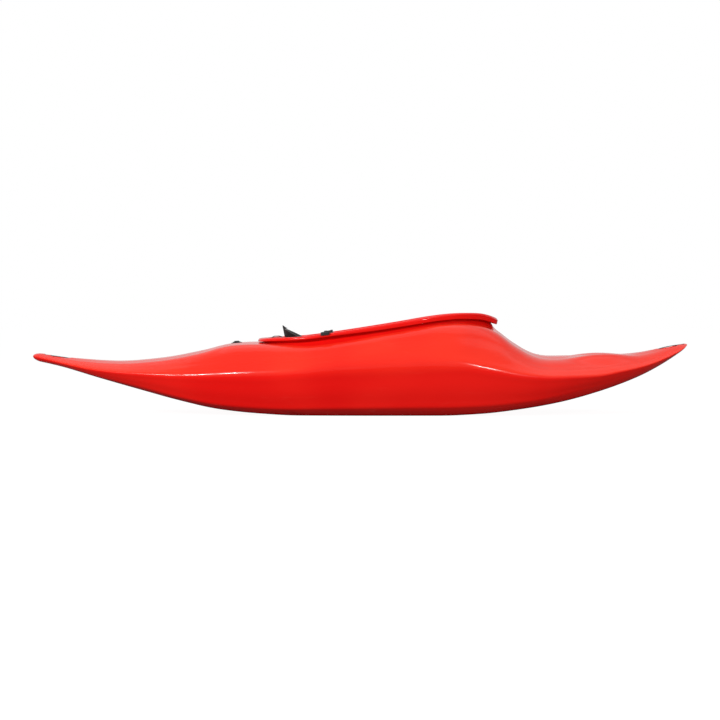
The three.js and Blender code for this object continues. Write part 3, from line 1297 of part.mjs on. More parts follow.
function drainPlug() {
  const { radius, bevel, tip, wing, wingTop, wingHalf } = DRAIN_CAP;
  const { cap, seal, wing: wingRise } = DRAIN_RISE;
  const [end, side] = [tip - DRAIN.depth, DRAIN.bore - FIT];
  const profile = [
    [0, end], [side - bevel, end], [side, end + bevel], [side, seal + FIT], [radius, seal + FIT],
    [radius, cap - bevel], [radius - bevel, cap], [0, cap],
  ];
  const outline = [[-wing, cap - bevel], [wing, cap - bevel], [wingTop, wingRise], [-wingTop, wingRise]];
  return turned(profile, SIDES.pipe).add(extrude("xz", outline, -wingHalf, wingHalf));
}

put("drain_insert", inDrain(drainInsert()));
put("drain_seal", inDrain(drainSeal()));
put("drain_plug", inDrain(drainPlug()));

// Grab handles
function handleBar(middle) {
  const { proud, thickness, width } = HANDLE;
  const line = handleLine(middle, proud - thickness / 2);
  const bar = extrude("xz", ribbon(line, thickness), -width / 2, width / 2);
  const holes = screwPlaces(middle).map((x) => {
    const z = deckHeight(x, 0);
    const top = z + 2 * thickness;
    return uprightRod(HANDLE_SCREW.shaft + FIT, x, 0, z - 2 * thickness, top)
      .add(uprightRod(HANDLE_SCREW.head + FIT, x, 0, z + proud - HANDLE_SCREW.sink, top));
  });
  return holes.reduce((made, hole) => made.subtract(hole), bar);
}

function handleScrew(x) {
  const { shaft, head, headDepth, sink, depth } = HANDLE_SCREW;
  const z = deckHeight(x, 0);
  const seat = z + HANDLE.proud - sink + FIT;
  return uprightRod(shaft, x, 0, z - depth, seat + RUNNING)
    .add(uprightRod(head, x, 0, seat, seat + headDepth));
}

["stern", "bow"].forEach((end, i) => {
  const [aft, fore] = screwPlaces(handleMiddles[i]);
  put(end + "_handle", handleBar(handleMiddles[i]));
  put(end + "_handle_screw_aft", handleScrew(aft));
  put(end + "_handle_screw_fore", handleScrew(fore));
});

export default kayak;
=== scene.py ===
# %% [markdown]
# # A whitewater kayak
# This lesson dresses a finished CAD model of a short whitewater kayak. The CAD gives
# every piece its place. Here each piece gets a closer shape where it needs one, and a
# finish worked out from nodes. All lengths are metres, +X points to the bow, +Y to port.

import json
import math

import bmesh
import bpy
import numpy as np
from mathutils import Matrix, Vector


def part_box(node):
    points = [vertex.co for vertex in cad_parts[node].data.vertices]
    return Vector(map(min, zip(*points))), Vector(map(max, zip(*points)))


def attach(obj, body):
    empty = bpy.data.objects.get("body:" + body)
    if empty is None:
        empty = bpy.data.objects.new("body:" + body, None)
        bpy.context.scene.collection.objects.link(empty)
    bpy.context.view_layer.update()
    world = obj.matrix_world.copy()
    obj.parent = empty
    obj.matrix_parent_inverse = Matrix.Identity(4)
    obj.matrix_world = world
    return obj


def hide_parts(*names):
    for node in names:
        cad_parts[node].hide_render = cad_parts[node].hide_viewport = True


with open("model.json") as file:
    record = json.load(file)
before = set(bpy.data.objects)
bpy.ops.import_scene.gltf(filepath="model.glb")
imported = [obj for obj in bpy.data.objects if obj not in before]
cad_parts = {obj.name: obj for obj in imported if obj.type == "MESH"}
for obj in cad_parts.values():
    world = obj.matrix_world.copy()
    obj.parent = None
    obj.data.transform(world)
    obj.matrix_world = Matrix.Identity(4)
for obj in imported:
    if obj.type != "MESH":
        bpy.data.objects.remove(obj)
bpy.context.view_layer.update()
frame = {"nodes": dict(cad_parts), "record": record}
behaviour = frame["record"]["behaviour"]

# %% [markdown]
# ## Shader maths as plain expressions
# A material is a graph of sockets. Wrapping a socket in a small class lets the maths be
# written as it would be on paper, and each operator adds the Math node that it names.


# %% Expressions on sockets
class Value:
    """A number that varies over a surface: the output socket of a node."""

    def __init__(self, tree, socket):
        self.tree = tree
        self.socket = socket

    def math(self, operation, *others, clamp=False):
        """A math node that has this value first."""
        settings = {"operation": operation, "use_clamp": clamp}
        return self.tree.node("ShaderNodeMath", settings, (self, *others))

    def __add__(self, other):
        return self.math("ADD", other)

    def __mul__(self, other):
        return self.math("MULTIPLY", other)

    def __sub__(self, other):
        return self.math("SUBTRACT", other)

    def __rsub__(self, other):
        return self.tree.node("ShaderNodeMath", {"operation": "SUBTRACT"}, (other, self))

    def __pow__(self, other):
        return self.math("POWER", other)

    __radd__ = __add__
    __rmul__ = __mul__

    def clamped(self):
        return self.math("ADD", 0.0, clamp=True)

    def ramp(self, low, high):
        """0 at low, 1 at high, and eased between them."""
        settings = {"interpolation_type": "SMOOTHSTEP", "clamp": True}
        inputs = {"Value": self, "From Min": low, "From Max": high}
        return self.tree.node("ShaderNodeMapRange", settings, inputs)

    def wave(self, length):
        """A sine that repeats after a length."""
        return (self * (2 * math.pi / length)).math("SINE")


class Finish:
    """The node graph of a material or of the world, emptied first."""

    def __init__(self, owner):
        owner.use_nodes = True
        self.owner = owner
        self.nodes = owner.node_tree.nodes
        self.links = owner.node_tree.links
        self.nodes.clear()

    def feed(self, socket, value):
        if isinstance(value, Value):
            self.links.new(value.socket, socket)
        else:
            socket.default_value = value

    def node(self, kind, settings=None, inputs=(), output=0):
        """Adds a node: its settings first, then a value or a link for each input."""
        made = self.nodes.new(kind)
        for key, value in (settings or {}).items():
            setattr(made, key, value)
        pairs = inputs.items() if isinstance(inputs, dict) else enumerate(inputs)
        for key, value in pairs:
            self.feed(made.inputs[key], value)
        return Value(self, made.outputs[output]) if made.outputs else None

    def point(self, scale=(1, 1, 1)):
        """A place on the piece in metres, scaled for a pattern."""
        where = self.node("ShaderNodeTexCoord", output="Object")
        return self.node("ShaderNodeMapping", {"vector_type": "POINT"}, {"Vector": where, "Scale": scale})

    def noise(self, scale, detail=2.0, roughness=0.5, at=None, distortion=0.0):
        """Smooth random values near 0.5; scale is how many waves there are in a metre."""
        inputs = {"Vector": at or self.point(), "Scale": scale, "Detail": detail}
        inputs |= {"Roughness": roughness, "Distortion": distortion}
        return self.node("ShaderNodeTexNoise", {}, inputs)

    def attribute(self, name):
        """A number that the mesh carries at each of its points."""
        return self.node("ShaderNodeAttribute", {"attribute_name": name}, output="Fac")

    def axis(self, vector, letter):
        """One of a vector's three numbers: X, Y or Z."""
        return self.node("ShaderNodeSeparateXYZ", {}, (vector,), output=letter)

    def ray(self, kind):
        """1 for light rays of a kind and 0 for all others."""
        return self.node("ShaderNodeLightPath", output="Is " + kind + " Ray")

    def seen(self):
        """1 where the camera looks, straight or through something clear."""
        return (self.ray("Camera") + self.ray("Transmission")).clamped()

    def mix(self, factor, first, second):
        """A colour between two colours."""
        inputs = {0: factor, 6: first, 7: second}
        return self.node("ShaderNodeMix", {"data_type": "RGBA"}, inputs, output=2)

    def bump(self, height, distance, strength, under=None):
        """A normal tilted by the height's slope, on top of another one."""
        inputs = {"Height": height, "Distance": distance, "Strength": strength}
        if under is not None:
            inputs["Normal"] = under
        return self.node("ShaderNodeBump", {}, inputs)

    def surface(self, **inputs):
        """The closing shader. Varying inputs are links, and all others are plain values."""
        titled = {}
        for key, value in inputs.items():
            titled[key.replace("_", " ").title().replace("Ior", "IOR")] = value
        shader = self.node("ShaderNodeBsdfPrincipled", {}, titled)
        self.node("ShaderNodeOutputMaterial", {}, {"Surface": shader})
        return self.owner


def new_finish(name):
    """The finish of a new material."""
    return Finish(bpy.data.materials.new(name))


def colour(red, green, blue):
    """The linear colour of an sRGB one written from 0 to 255, with an alpha of 1."""
    shares = np.array([red, green, blue]) / 255
    linear = np.where(shares <= 0.04045, shares / 12.92, ((shares + 0.055) / 1.055) ** 2.4)
    return (*linear.tolist(), 1.0)


# %% [markdown]
# ## The camera
# The kayak was photographed square from its starboard side with a long lens, from a
# little above the deck. Where the tips and the rim's crest fall in the picture gives
# the distance and the height. One camera at those places stands in for the real one.

# %% Camera
EYE = np.array([0.0, -6.0, 0.35])
AIM = np.array([0.0, 0.0, 0.1851])
camera_data = bpy.data.cameras.new("camera")
camera_data.lens = 85.3
camera_data.sensor_width = 36.0
camera = bpy.data.objects.new("camera", camera_data)
bpy.context.scene.collection.objects.link(camera)
camera.location = EYE
tilt_down = math.atan2(EYE[2] - AIM[2], AIM[1] - EYE[1])
camera.rotation_euler = (math.pi / 2 - tilt_down, 0, 0)
bpy.context.scene.camera = camera
print("camera tilts down by", round(math.degrees(tilt_down), 2), "degrees")

# %% [markdown]
# ## Light, floor and background
# The picture's ground is white, and most of its light is broad and soft: a white sky and a
# large lamp overhead. Three narrow lamps in front draw the bright streaks along the sheer.
# The floor glows for the camera, so that it meets the white background without a line, and
# it lights the boat a little from below. It lies a hair under the boat's flat, because two
# faces in one plane show as specks.

# %% Light and floor
TOP_LAMP = {"place": (0.2, 0.6, 3.4), "target": (0, 0, 0.2), "size": (5.0, 3.0), "power": 30}
FRONT_LAMP = {"away": 5.5, "height": 2.5, "target": (0, 0, 0.15), "size": (0.16, 0.3), "power": 95}
front_turns = {"stern_lamp": -43.5, "rear_lamp": -35.5, "bow_lamp": 28.5}  # degrees, bow positive
SKY_GLOW = {"all": 0.42, "seen": 0.58, "mirrored": 0.28}
FLOOR = {"half": 30, "under": 0.0004, "grey": 0.1, "seen": 0.96, "lighting": 0.27}
WHITE = (1.0, 1.0, 1.0, 1.0)


def area_lamp(name, place, target, size, power):
    """A soft lamp at a place, facing a target."""
    data = bpy.data.lights.new(name, "AREA")
    data.shape = "RECTANGLE"
    data.size, data.size_y = size
    data.energy = power
    lamp = bpy.data.objects.new(name, data)
    bpy.context.scene.collection.objects.link(lamp)
    lamp.location = place
    x, y, z = np.array(target) - np.array(place)
    lamp.rotation_euler = (math.atan2(math.hypot(x, y), -z), 0, math.atan2(y, x) - math.pi / 2)


area_lamp("top_lamp", **TOP_LAMP)
for name, degrees in front_turns.items():
    turn, away = math.radians(degrees), FRONT_LAMP["away"]
    place = (away * math.sin(turn), -away * math.cos(turn), FRONT_LAMP["height"])
    area_lamp(name, place, FRONT_LAMP["target"], FRONT_LAMP["size"], FRONT_LAMP["power"])

bpy.context.scene.world = bpy.data.worlds.new("studio")
sky = Finish(bpy.context.scene.world)
strength = SKY_GLOW["all"] + SKY_GLOW["seen"] * sky.seen() + SKY_GLOW["mirrored"] * sky.ray("Glossy")
glow = sky.node("ShaderNodeBackground", {}, {"Color": WHITE, "Strength": strength.clamped()})
sky.node("ShaderNodeOutputWorld", {}, {"Surface": glow})

floor_mesh = bpy.data.meshes.new("floor")
sides = ((-1, -1), (1, -1), (1, 1), (-1, 1))
corners = [(x * FLOOR["half"], y * FLOOR["half"], -FLOOR["under"]) for x, y in sides]
floor_mesh.from_pydata(corners, [], [(0, 1, 2, 3)])
floor = bpy.data.objects.new("floor", floor_mesh)
bpy.context.scene.collection.objects.link(floor)
floor_white = new_finish("floor_white")
grey = FLOOR["grey"]
lit = floor_white.node("ShaderNodeBsdfDiffuse", {}, {"Color": (grey, grey, grey, 1)})
strength = FLOOR["seen"] * floor_white.seen() + FLOOR["lighting"] * floor_white.ray("Diffuse")
glow = floor_white.node("ShaderNodeEmission", {}, {"Color": WHITE, "Strength": strength})
both = floor_white.node("ShaderNodeAddShader", {}, (lit, glow))
floor_white.node("ShaderNodeOutputMaterial", {}, {"Surface": both})
floor_mesh.materials.append(floor_white.owner)

view = bpy.context.scene.view_settings
view.view_transform = "Standard"

# %% [markdown]
# ## Moulded red plastic
# The shell is one piece of rotationally moulded polyethylene. Its skin is glossy but
# never quite flat: it carries the mould's faint ripple, fine scuffs that dull the gloss,
# and a slightly uneven red. The red is painted paler on the deck, a painted light from
# above, and deeper on the sides, a painted shade.


# %% Hull finish
def hull_finish():
    """A broadly uneven red: paler on the deck, a painted light, and deeper on the sides, a painted shade.
    Scuffs pale it and make it rougher.
    """
    made = new_finish("hull_red")
    broad = made.noise(3.0, 2.0)
    ripple = made.noise(26.0, 2.0, at=made.point((0.45, 1, 1)))
    peel = made.noise(420.0, 1.0)
    scuffs = made.noise(18.0, 6.0, 0.72, at=made.point((0.3, 1, 2.4)), distortion=0.6).ramp(0.57, 0.74)
    uneven = broad.ramp(0.35, 0.65)
    # below is the sides' deeper red, a painted shade; above is the deck's paler red, a painted light
    below = made.mix(uneven, colour(236, 19, 15), colour(243, 27, 20))
    above = made.mix(uneven, colour(238, 39, 24), colour(245, 48, 29))
    red = made.mix(made.attribute("deck"), below, above)
    worn = made.mix(scuffs * 0.12, red, colour(250, 92, 74))
    shine = 0.11 + 0.05 * broad + 0.14 * scuffs
    skin = made.bump(ripple, 0.0011, 0.5)
    skin = made.bump(peel, 0.00012, 0.5, under=skin)
    return made.surface(base_color=worn, roughness=shine, normal=skin, specular_ior_level=0.21)


hull_red = hull_finish()

# %% [markdown]
# ## Surfaces as arrays
# Every new piece below is a grid of points worked out at once with numpy. One helper joins
# the grid's neighbours with four-sided faces, and one puts them into a mesh, welds points
# that coincide and turns the faces outwards.


# %% Grids and meshes
def grid_faces(rows, columns, first=0, round_rows=False, round_columns=False):
    """Faces over a grid numbered row by row: each point with the next one in its row and
    the same two in the row after it. A round direction also joins its end to its start."""
    row = np.arange(rows if round_rows else rows - 1)[:, None]
    column = np.arange(columns if round_columns else columns - 1)[None]
    after, beside = (row + 1) % rows, (column + 1) % columns
    here, onward = row * columns, after * columns
    corners = (here + column, here + beside, onward + beside, onward + column)
    return first + np.stack(np.broadcast_arrays(*corners), axis=-1).reshape(-1, 4)


def make_piece(name, points, faces, finish, sharp=40):
    """A mesh object from an array of points and an array of faces."""
    mesh = bpy.data.meshes.new(name)
    mesh.from_pydata(points.reshape(-1, 3).tolist(), [], faces.tolist())
    piece = bpy.data.objects.new(name, mesh)
    bpy.context.scene.collection.objects.link(piece)
    work = bmesh.new()
    work.from_mesh(mesh)
    bmesh.ops.remove_doubles(work, verts=work.verts, dist=2e-6)
    bmesh.ops.dissolve_degenerate(work, edges=work.edges, dist=1e-6)
    bmesh.ops.recalc_face_normals(work, faces=work.faces)
    work.to_mesh(mesh)
    work.free()
    shade(piece, sharp)
    mesh.materials.append(finish)
    print(name, "has", len(mesh.polygons), "faces")
    return piece


def shade(piece, sharp):
    """Smooth shading, but for edges that turn by more than an angle in degrees."""
    piece.data.shade_smooth()
    piece.data.set_sharp_from_angle(angle=math.radians(sharp))


def vertex_values(mesh, what):
    """A vector of every vertex, in rows of three."""
    values = np.empty(len(mesh.vertices) * 3)
    mesh.vertices.foreach_get(what, values)
    return values.reshape(-1, 3)


def move_vertices(mesh, places):
    """Puts every vertex at its new place."""
    mesh.vertices.foreach_set("co", places.ravel())
    mesh.update()


def point_value(mesh, name, values):
    """A named number on every vertex, for a finish to read."""
    layer = mesh.attributes.new(name, "FLOAT", "POINT")
    layer.data.foreach_set("value", np.asarray(values, dtype=np.float32))


def dress(piece, body, slot, *nodes):
    """The piece moves with a body and stands for some CAD nodes. The slot is not used."""
    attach(piece, body)
    if nodes:
        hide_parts(*nodes)
    return piece


# %% [markdown]
# ## The shell's lines
# A moulded boat is drawn with a few long curves: how high the keel and the deck run, how
# wide and how high the sheer is, and where the chine and the deck's shoulder lie between
# them. Each is a short table along the boat, in shares of one size. A curve runs through
# them without overshooting, and is then averaged over a hand's width, because a gloss
# finish shows every change of curvature.

# %% Guide lines
LENGTH, BEAM, DECK_HEIGHT, WALL = 2.3, 0.645, 0.323, 0.005
EASING = 0.06  # the run over which a guide line is averaged


def bell(count):
    """The weights of a bell-shaped average."""
    return np.hanning(count) / np.hanning(count).sum()


def guide(*pairs):
    """A line through (share, value) pairs, as a function of x. Between two pairs it is a
    cubic, and its slope at a pair is the harmonic mean of the slopes beside it, or 0 where
    they differ in sign. A bell-shaped average over the easing run follows."""
    at, value = np.array(pairs).T
    run, slope = np.diff(at), np.diff(value) / np.diff(at)
    rising = slope[:-1] * slope[1:] > 0
    mean = 2 * slope[:-1] * slope[1:] / np.where(rising, slope[:-1] + slope[1:], 1)
    tangent = np.concatenate([slope[:1], np.where(rising, mean, 0), slope[-1:]])
    fine = np.linspace(-0.05, 1.05, 2201)
    kept = np.clip(fine, at[0], at[-1])
    piece = np.clip(np.searchsorted(at, kept) - 1, 0, len(run) - 1)
    t = (kept - at[piece]) / run[piece]
    line = value[piece] * (1 + 2 * t) * (1 - t) ** 2 + value[piece + 1] * t * t * (3 - 2 * t)
    line += run[piece] * t * (1 - t) * (tangent[piece] * (1 - t) - tangent[piece + 1] * t)
    line += np.where(fine < at[0], tangent[0], tangent[-1]) * (fine - kept)
    count = 2 * round(EASING / LENGTH / (fine[1] - fine[0]) / 2) + 1
    smooth = np.convolve(line, bell(count), mode="same")
    return lambda x: np.interp(x / LENGTH + 0.5, fine, smooth)


keel_rise = guide(
    (0, 0.575), (0.045, 0.506), (0.105, 0.385), (0.17, 0.26), (0.23, 0.149), (0.29, 0.061), (0.35, 0.019),
    (0.41, 0), (0.62, 0), (0.68, 0.018), (0.74, 0.066), (0.8, 0.139), (0.86, 0.25), (0.92, 0.4),
    (0.96, 0.54), (1, 0.72),
)
deck_rise = guide(
    (0, 0.655), (0.02, 0.64), (0.075, 0.59), (0.135, 0.567), (0.197, 0.601), (0.258, 0.679), (0.304, 0.752),
    (0.335, 0.763), (0.41, 0.765), (0.47, 0.814), (0.53, 0.881), (0.59, 0.951), (0.62, 0.983), (0.657, 1),
    (0.681, 0.985), (0.696, 0.95), (0.711, 0.891), (0.726, 0.805), (0.741, 0.735), (0.756, 0.673),
    (0.772, 0.634), (0.787, 0.622), (0.83, 0.626), (0.87, 0.632), (0.91, 0.646), (0.94, 0.676),
    (0.97, 0.73), (1, 0.765),
)
sheer_half = guide(
    (0, 0.09), (0.02, 0.14), (0.07, 0.275), (0.16, 0.485), (0.225, 0.625), (0.285, 0.75), (0.35, 0.855),
    (0.41, 0.93), (0.47, 0.978), (0.54, 1), (0.6, 0.99), (0.655, 0.962), (0.715, 0.906), (0.775, 0.828),
    (0.835, 0.714), (0.9, 0.54), (0.943, 0.385), (0.974, 0.25), (1, 0.13),
)
sheer_rise = guide(
    (0, 0.62), (0.05, 0.542), (0.105, 0.472), (0.16, 0.443), (0.24, 0.426), (0.315, 0.431), (0.38, 0.452),
    (0.44, 0.493), (0.5, 0.523), (0.6, 0.55), (0.645, 0.546), (0.69, 0.5), (0.74, 0.44), (0.79, 0.416),
    (0.85, 0.425), (0.89, 0.47), (0.92, 0.51), (0.95, 0.572), (0.985, 0.675), (1, 0.742),
)
flat_half = guide((0, 0.4), (0.1, 0.55), (0.3, 0.64), (0.5, 0.66), (0.75, 0.66), (0.9, 0.6), (1, 0.45))
chine_half = guide((0, 0.72), (0.1, 0.78), (0.3, 0.83), (0.5, 0.84), (0.75, 0.84), (0.9, 0.82), (1, 0.75))
chine_rise = guide(
    (0, 0.3), (0.17, 0.2), (0.25, 0.15), (0.42, 0.17), (0.65, 0.18), (0.76, 0.23), (0.86, 0.4), (1, 0.42)
)
shoulder_half = guide(
    (0, 0.6), (0.1, 0.68), (0.25, 0.74), (0.33, 0.79), (0.5, 0.81), (0.62, 0.78), (0.7, 0.64), (0.78, 0.62),
    (0.88, 0.62), (1, 0.5),
)
shoulder_rise = guide(
    (0, 0.6), (0.1, 0.72), (0.25, 0.86), (0.33, 0.97), (0.5, 0.98), (0.62, 0.96), (0.7, 0.88), (0.78, 0.8),
    (0.88, 0.8), (1, 0.6),
)
rim_crest = guide(
    (0.33, 0.807), (0.366, 0.82), (0.411, 0.836), (0.441, 0.861), (0.5, 0.923), (0.559, 0.991),
    (0.618, 1.062), (0.648, 1.084), (0.663, 1.087), (0.68, 1.083), (0.693, 1.065), (0.712, 1.02),
)
print("sheer's half width amidships:", round(float(sheer_half(0)) * BEAM / 2, 4), "m")

# %% [markdown]
# ## A section of the shell
# At every station the shell's half section is a line with six corners, from the keel over
# the chine, the sheer and the shoulder to the middle of the deck. Rounding each corner with
# a parabola and swelling each side a little gives the moulded look. The chine and the
# sheer stay crisp towards the ends, where the boat slices, and soften amidships.


# %% Sections
# How far from each corner its parabola starts. The sheer's grows by softer amidships.
REACH = {"flat": 0.034, "chine": 0.009, "sheer": 0.008, "softer": 0.024, "shoulder": 0.046}
largest_reach_share = 0.42  # of the shorter side at a corner
swell_shares = (0, 0.02, 0.03, 0.03, 0.02)


def section_corners(x):
    """Stations by six corners by (y, z)."""
    half = sheer_half(x) * BEAM / 2
    keel, sheer, deck = (line(x) * DECK_HEIGHT for line in (keel_rise, sheer_rise, deck_rise))
    chine = keel + chine_rise(x) * (sheer - keel)
    shoulder = sheer + shoulder_rise(x) * (deck - sheer)
    across = [0 * x, flat_half(x) * half, chine_half(x) * half, half, shoulder_half(x) * half, 0 * x]
    up = [keel, keel, chine, sheer, shoulder, deck]
    return np.stack([np.stack(across, 1), np.stack(up, 1)], axis=2)


def cross(first, second):
    """The product of two plane vectors' lengths and the sine of the turn between them."""
    return first[..., 0] * second[..., 1] - first[..., 1] * second[..., 0]


def unit(vectors):
    """Every vector over its own length."""
    return vectors / np.linalg.norm(vectors, axis=-1, keepdims=True)


def moved_in(corners, wall):
    """Each side moves inwards by the wall, and each new corner is where two sides cross."""
    along = np.diff(corners, axis=1)
    start = corners[:, :-1] + wall * unit(np.stack([-along[..., 1], along[..., 0]], axis=-1))
    share = cross(start[:, 1:] - start[:, :-1], along[:, 1:]) / cross(along[:, :-1], along[:, 1:])
    crossings = start[:, :-1] + along[:, :-1] * share[..., None]
    ends = [start[:, k] - along[:, k] * (start[:, k, :1] / along[:, k, :1]) for k in (0, -1)]
    return np.concatenate([ends[0][:, None], crossings, ends[1][:, None]], axis=1)


def half_section(x, wall, spans, turns):
    """Points of the half section at each station. A corner's parabola starts and ends a
    reach away from it. A side of length 1 swells by its share times 16 (t - t^2)^2, which
    is 0 and level at both of its ends."""
    corners = section_corners(x)
    amidships = (1 - (np.abs(x) / (LENGTH / 2)) ** 2) ** 3
    sheer_reach = REACH["sheer"] + REACH["softer"] * amidships
    reaches = [REACH["flat"], REACH["chine"], sheer_reach, REACH["shoulder"]]
    if wall:
        corners = moved_in(corners, wall)
    lengths = np.linalg.norm(np.diff(corners, axis=1), axis=2)
    start, points = corners[:, 0], []
    for side in range(5):
        corner, back = corners[:, side + 1], corners[:, side] - corners[:, side + 1]
        if side < 4:
            shorter = np.minimum(lengths[:, side], lengths[:, side + 1])
            reach = np.minimum(reaches[side], largest_reach_share * shorter)[:, None]
            onward = corners[:, side + 2] - corner
        else:
            reach = 0
        stop = corner + back * reach / lengths[:, side, None]
        along = (stop - start)[:, None]
        outward = np.stack([along[..., 1], -along[..., 0]], axis=2)
        t = np.arange(spans[side])[None, :, None] / spans[side]
        swell = 16 * swell_shares[side] * (t - t * t) ** 2
        points.append(start[:, None] + along * t + outward * swell)
        if side < 4:
            after = corner + onward * reach / lengths[:, side + 1, None]
            t = np.arange(turns[side])[None, :, None] / turns[side]
            ends_mix = stop[:, None] * (1 - t) ** 2 + after[:, None] * t * t
            points.append(ends_mix + 2 * t * (1 - t) * corner[:, None])
            start = after
    points.append(corners[:, -1:])
    return np.concatenate(points, axis=1)


TOE_BUMP = {"half_run": 0.145, "half_width": 0.0675, "height": 0.014}
toe_bump_at_share, toe_bump_out_share = 0.862, 0.46  # of the length and of the sheer's half width


def toe_bump(x, y):
    """A soft mound on each side of the bow deck: the square of 1 less the squared distance
    from its middle, measured in half its run and half its width."""
    along = (x - (toe_bump_at_share - 0.5) * LENGTH) / TOE_BUMP["half_run"]
    out = toe_bump_out_share * sheer_half(x) * BEAM / 2
    across = (np.abs(y) - out) / TOE_BUMP["half_width"]
    return TOE_BUMP["height"] * np.maximum(0, 1 - along**2 - across**2) ** 2


def read_rows(at, known, values):
    """Row by row, the values at some places, on straight lines between known places."""
    below = (known[:, None, :] <= at[:, :, None]).sum(axis=2) - 1
    below = np.clip(below, 0, known.shape[1] - 2)
    low, high = np.take_along_axis(known, below, 1), np.take_along_axis(known, below + 1, 1)
    first, second = np.take_along_axis(values, below, 1), np.take_along_axis(values, below + 1, 1)
    t = np.clip((at - low) / np.maximum(high - low, 1e-9), 0, 1)
    return first + (second - first) * t


FINE_SPANS, FINE_TURNS = (6, 12, 16, 40, 70), (6, 6, 8, 24)


def deck_line(x, wall=0.0):
    """The deck's part of the half section, from the sheer to the middle."""
    line = half_section(x, wall, FINE_SPANS, FINE_TURNS)
    return line[:, sum(FINE_SPANS[:3]) + sum(FINE_TURNS[:3]) :]


def deck_height(x, y):
    """The deck's height above places in plan, given as arrays of one shape."""
    flat_x, flat_y = x.ravel(), np.abs(y.ravel())
    line = deck_line(flat_x)
    found = read_rows(-flat_y[:, None], -line[..., 0], line[..., 1])[:, 0]
    return (found + toe_bump(flat_x, flat_y)).reshape(x.shape)


def z_middle(x):
    """The deck's height along the middle line."""
    return deck_height(x, 0 * x)


print("deck's height ahead of the rim:", round(float(z_middle(np.array([0.55]))[0]), 4), "m")

# %% [markdown]
# ## The plan of the cockpit
# Seen from above the cockpit is an egg, wider at the rear. Its half length and half width
# follow powers of a turn's cosine and sine, which makes the rear end flatter than the
# front. The points are then spaced evenly, because the powers bunch them up.

# %% Cockpit plan
COCKPIT = {"run": 0.84, "width": 0.5, "centre": 0.064}  # outside the lip
EGG = {"power": 0.83, "power_gain": 0.17, "narrowing": 0.1}  # gain and narrowing: at the front
RIM = {"neck_wall": 0.006, "reach": 0.026, "thickness": 0.005}


def signed_power(value, power):
    """A power that keeps the value's sign."""
    return np.sign(value) * np.abs(value) ** power


def run_along(first, second):
    """How far along a line each of its points lies."""
    return np.concatenate([[0], np.cumsum(np.hypot(np.diff(first), np.diff(second)))])


def rim_plan(count):
    """Evenly spaced points of the neck's outer face and their outward directions."""
    turn = np.linspace(0, 2 * np.pi, 40001)
    power = EGG["power"] + EGG["power_gain"] * np.cos(turn)
    forward, sideways = signed_power(np.cos(turn), power), signed_power(np.sin(turn), power)
    x = COCKPIT["centre"] + (COCKPIT["run"] / 2 - RIM["reach"]) * forward
    y = (COCKPIT["width"] / 2 - RIM["reach"]) * sideways * (1 - EGG["narrowing"] * forward)
    run = run_along(x, y)
    at = np.arange(count) * run[-1] / count
    plan = np.stack([np.interp(at, run, x), np.interp(at, run, y)], axis=1)
    plan = sum(weight * np.roll(plan, shift, axis=0) for weight, shift in zip(bell(9), range(-4, 5)))
    along = np.roll(plan, -1, axis=0) - np.roll(plan, 1, axis=0)
    return plan, unit(np.stack([along[:, 1], -along[:, 0]], axis=-1))


rim_line, rim_outward = rim_plan(480)
hole_line = rim_line - rim_outward * RIM["neck_wall"] / 2
port = hole_line[hole_line[:, 1] >= 0]
port = port[np.argsort(port[:, 0])]
hole_rear, hole_front = hole_line[:, 0].min(), hole_line[:, 0].max()
print("the hole in the deck runs from", round(hole_rear, 4), "to", round(hole_front, 4))


def hole_half(x):
    """Half the width of the hole at each station, and 0 fore and aft of it."""
    inside = (x > hole_rear + 1e-7) & (x < hole_front - 1e-7)
    return np.where(inside, np.interp(x, port[:, 0], port[:, 1]), 0.0)


# %% [markdown]
# ## Hollows in the deck
# Each grab handle spans a bowl for the fingers and lies with its ends in a shallow seat, and
# the drain's flange lies flush in a round recess. They are pressed into the deck's height,
# which keeps one closed skin and needs no cutting.

# %% Hollows
drain = next(joint for joint in behaviour["joints"] if joint["name"] == "drain_plug_turn")
drain_middle, drain_up = np.array(drain["pos_m"]), np.array(drain["axis"])
handle_boxes = [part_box(node) for node in ("stern_handle", "bow_handle")]
handle_middles = [float(box[0][0] + box[1][0]) / 2 for box in handle_boxes]
HANDLE = {"half": 0.056, "side": 0.0124, "under": 0.0048, "arch": 0.0015, "arch_half": 0.04345}
BOWL = {"half": 0.038, "side": 0.031, "depth": 0.024}
DRAIN_SEAT = {"radius": 0.0201, "slope": 0.0012, "depth": 0.00125}


def pressed(x, y, z):
    """The deck's height after the hollows: a half ellipsoid under each handle, a strip a
    little lower than the deck for its ends, and a flat round for the drain."""
    for middle in handle_middles:
        rear, deck, front = z_middle(middle + HANDLE["half"] * np.array([-1, 0, 1]))
        slope = (front - rear) / (2 * HANDLE["half"])
        distance = ((x - middle) / BOWL["half"]) ** 2 + (y / BOWL["side"]) ** 2
        bowl = deck + slope * (x - middle) - BOWL["depth"] * np.sqrt(np.maximum(0, 1 - distance))
        z = np.where(distance < 1, np.minimum(z, bowl), z)
        arch = HANDLE["arch"] * np.maximum(0, 1 - ((x - middle) / HANDLE["arch_half"]) ** 2)
        near = (np.abs(x - middle) < HANDLE["half"]) & (np.abs(y) < HANDLE["side"])
        z = np.where(near, np.minimum(z, z_middle(x) - HANDLE["under"] + arch), z)
    ahead, out = x - drain_middle[0], y - drain_middle[1]
    level = drain_middle[2] - (drain_up[0] * ahead + drain_up[1] * out) / drain_up[2]
    share = np.clip((np.hypot(ahead, out) - DRAIN_SEAT["radius"]) / DRAIN_SEAT["slope"], 0, 1)
    return (level - DRAIN_SEAT["depth"]) * (1 - share) + z * share


# %% [markdown]
# ## The shell's skin
# The skin is two grids, the outer face and the face a wall's thickness inside it. In the
# cockpit's run their rows stop at the egg, and a strip joins the two there. Stations crowd
# together at the ends of the hole and at the hollows, where the shape changes quickly.


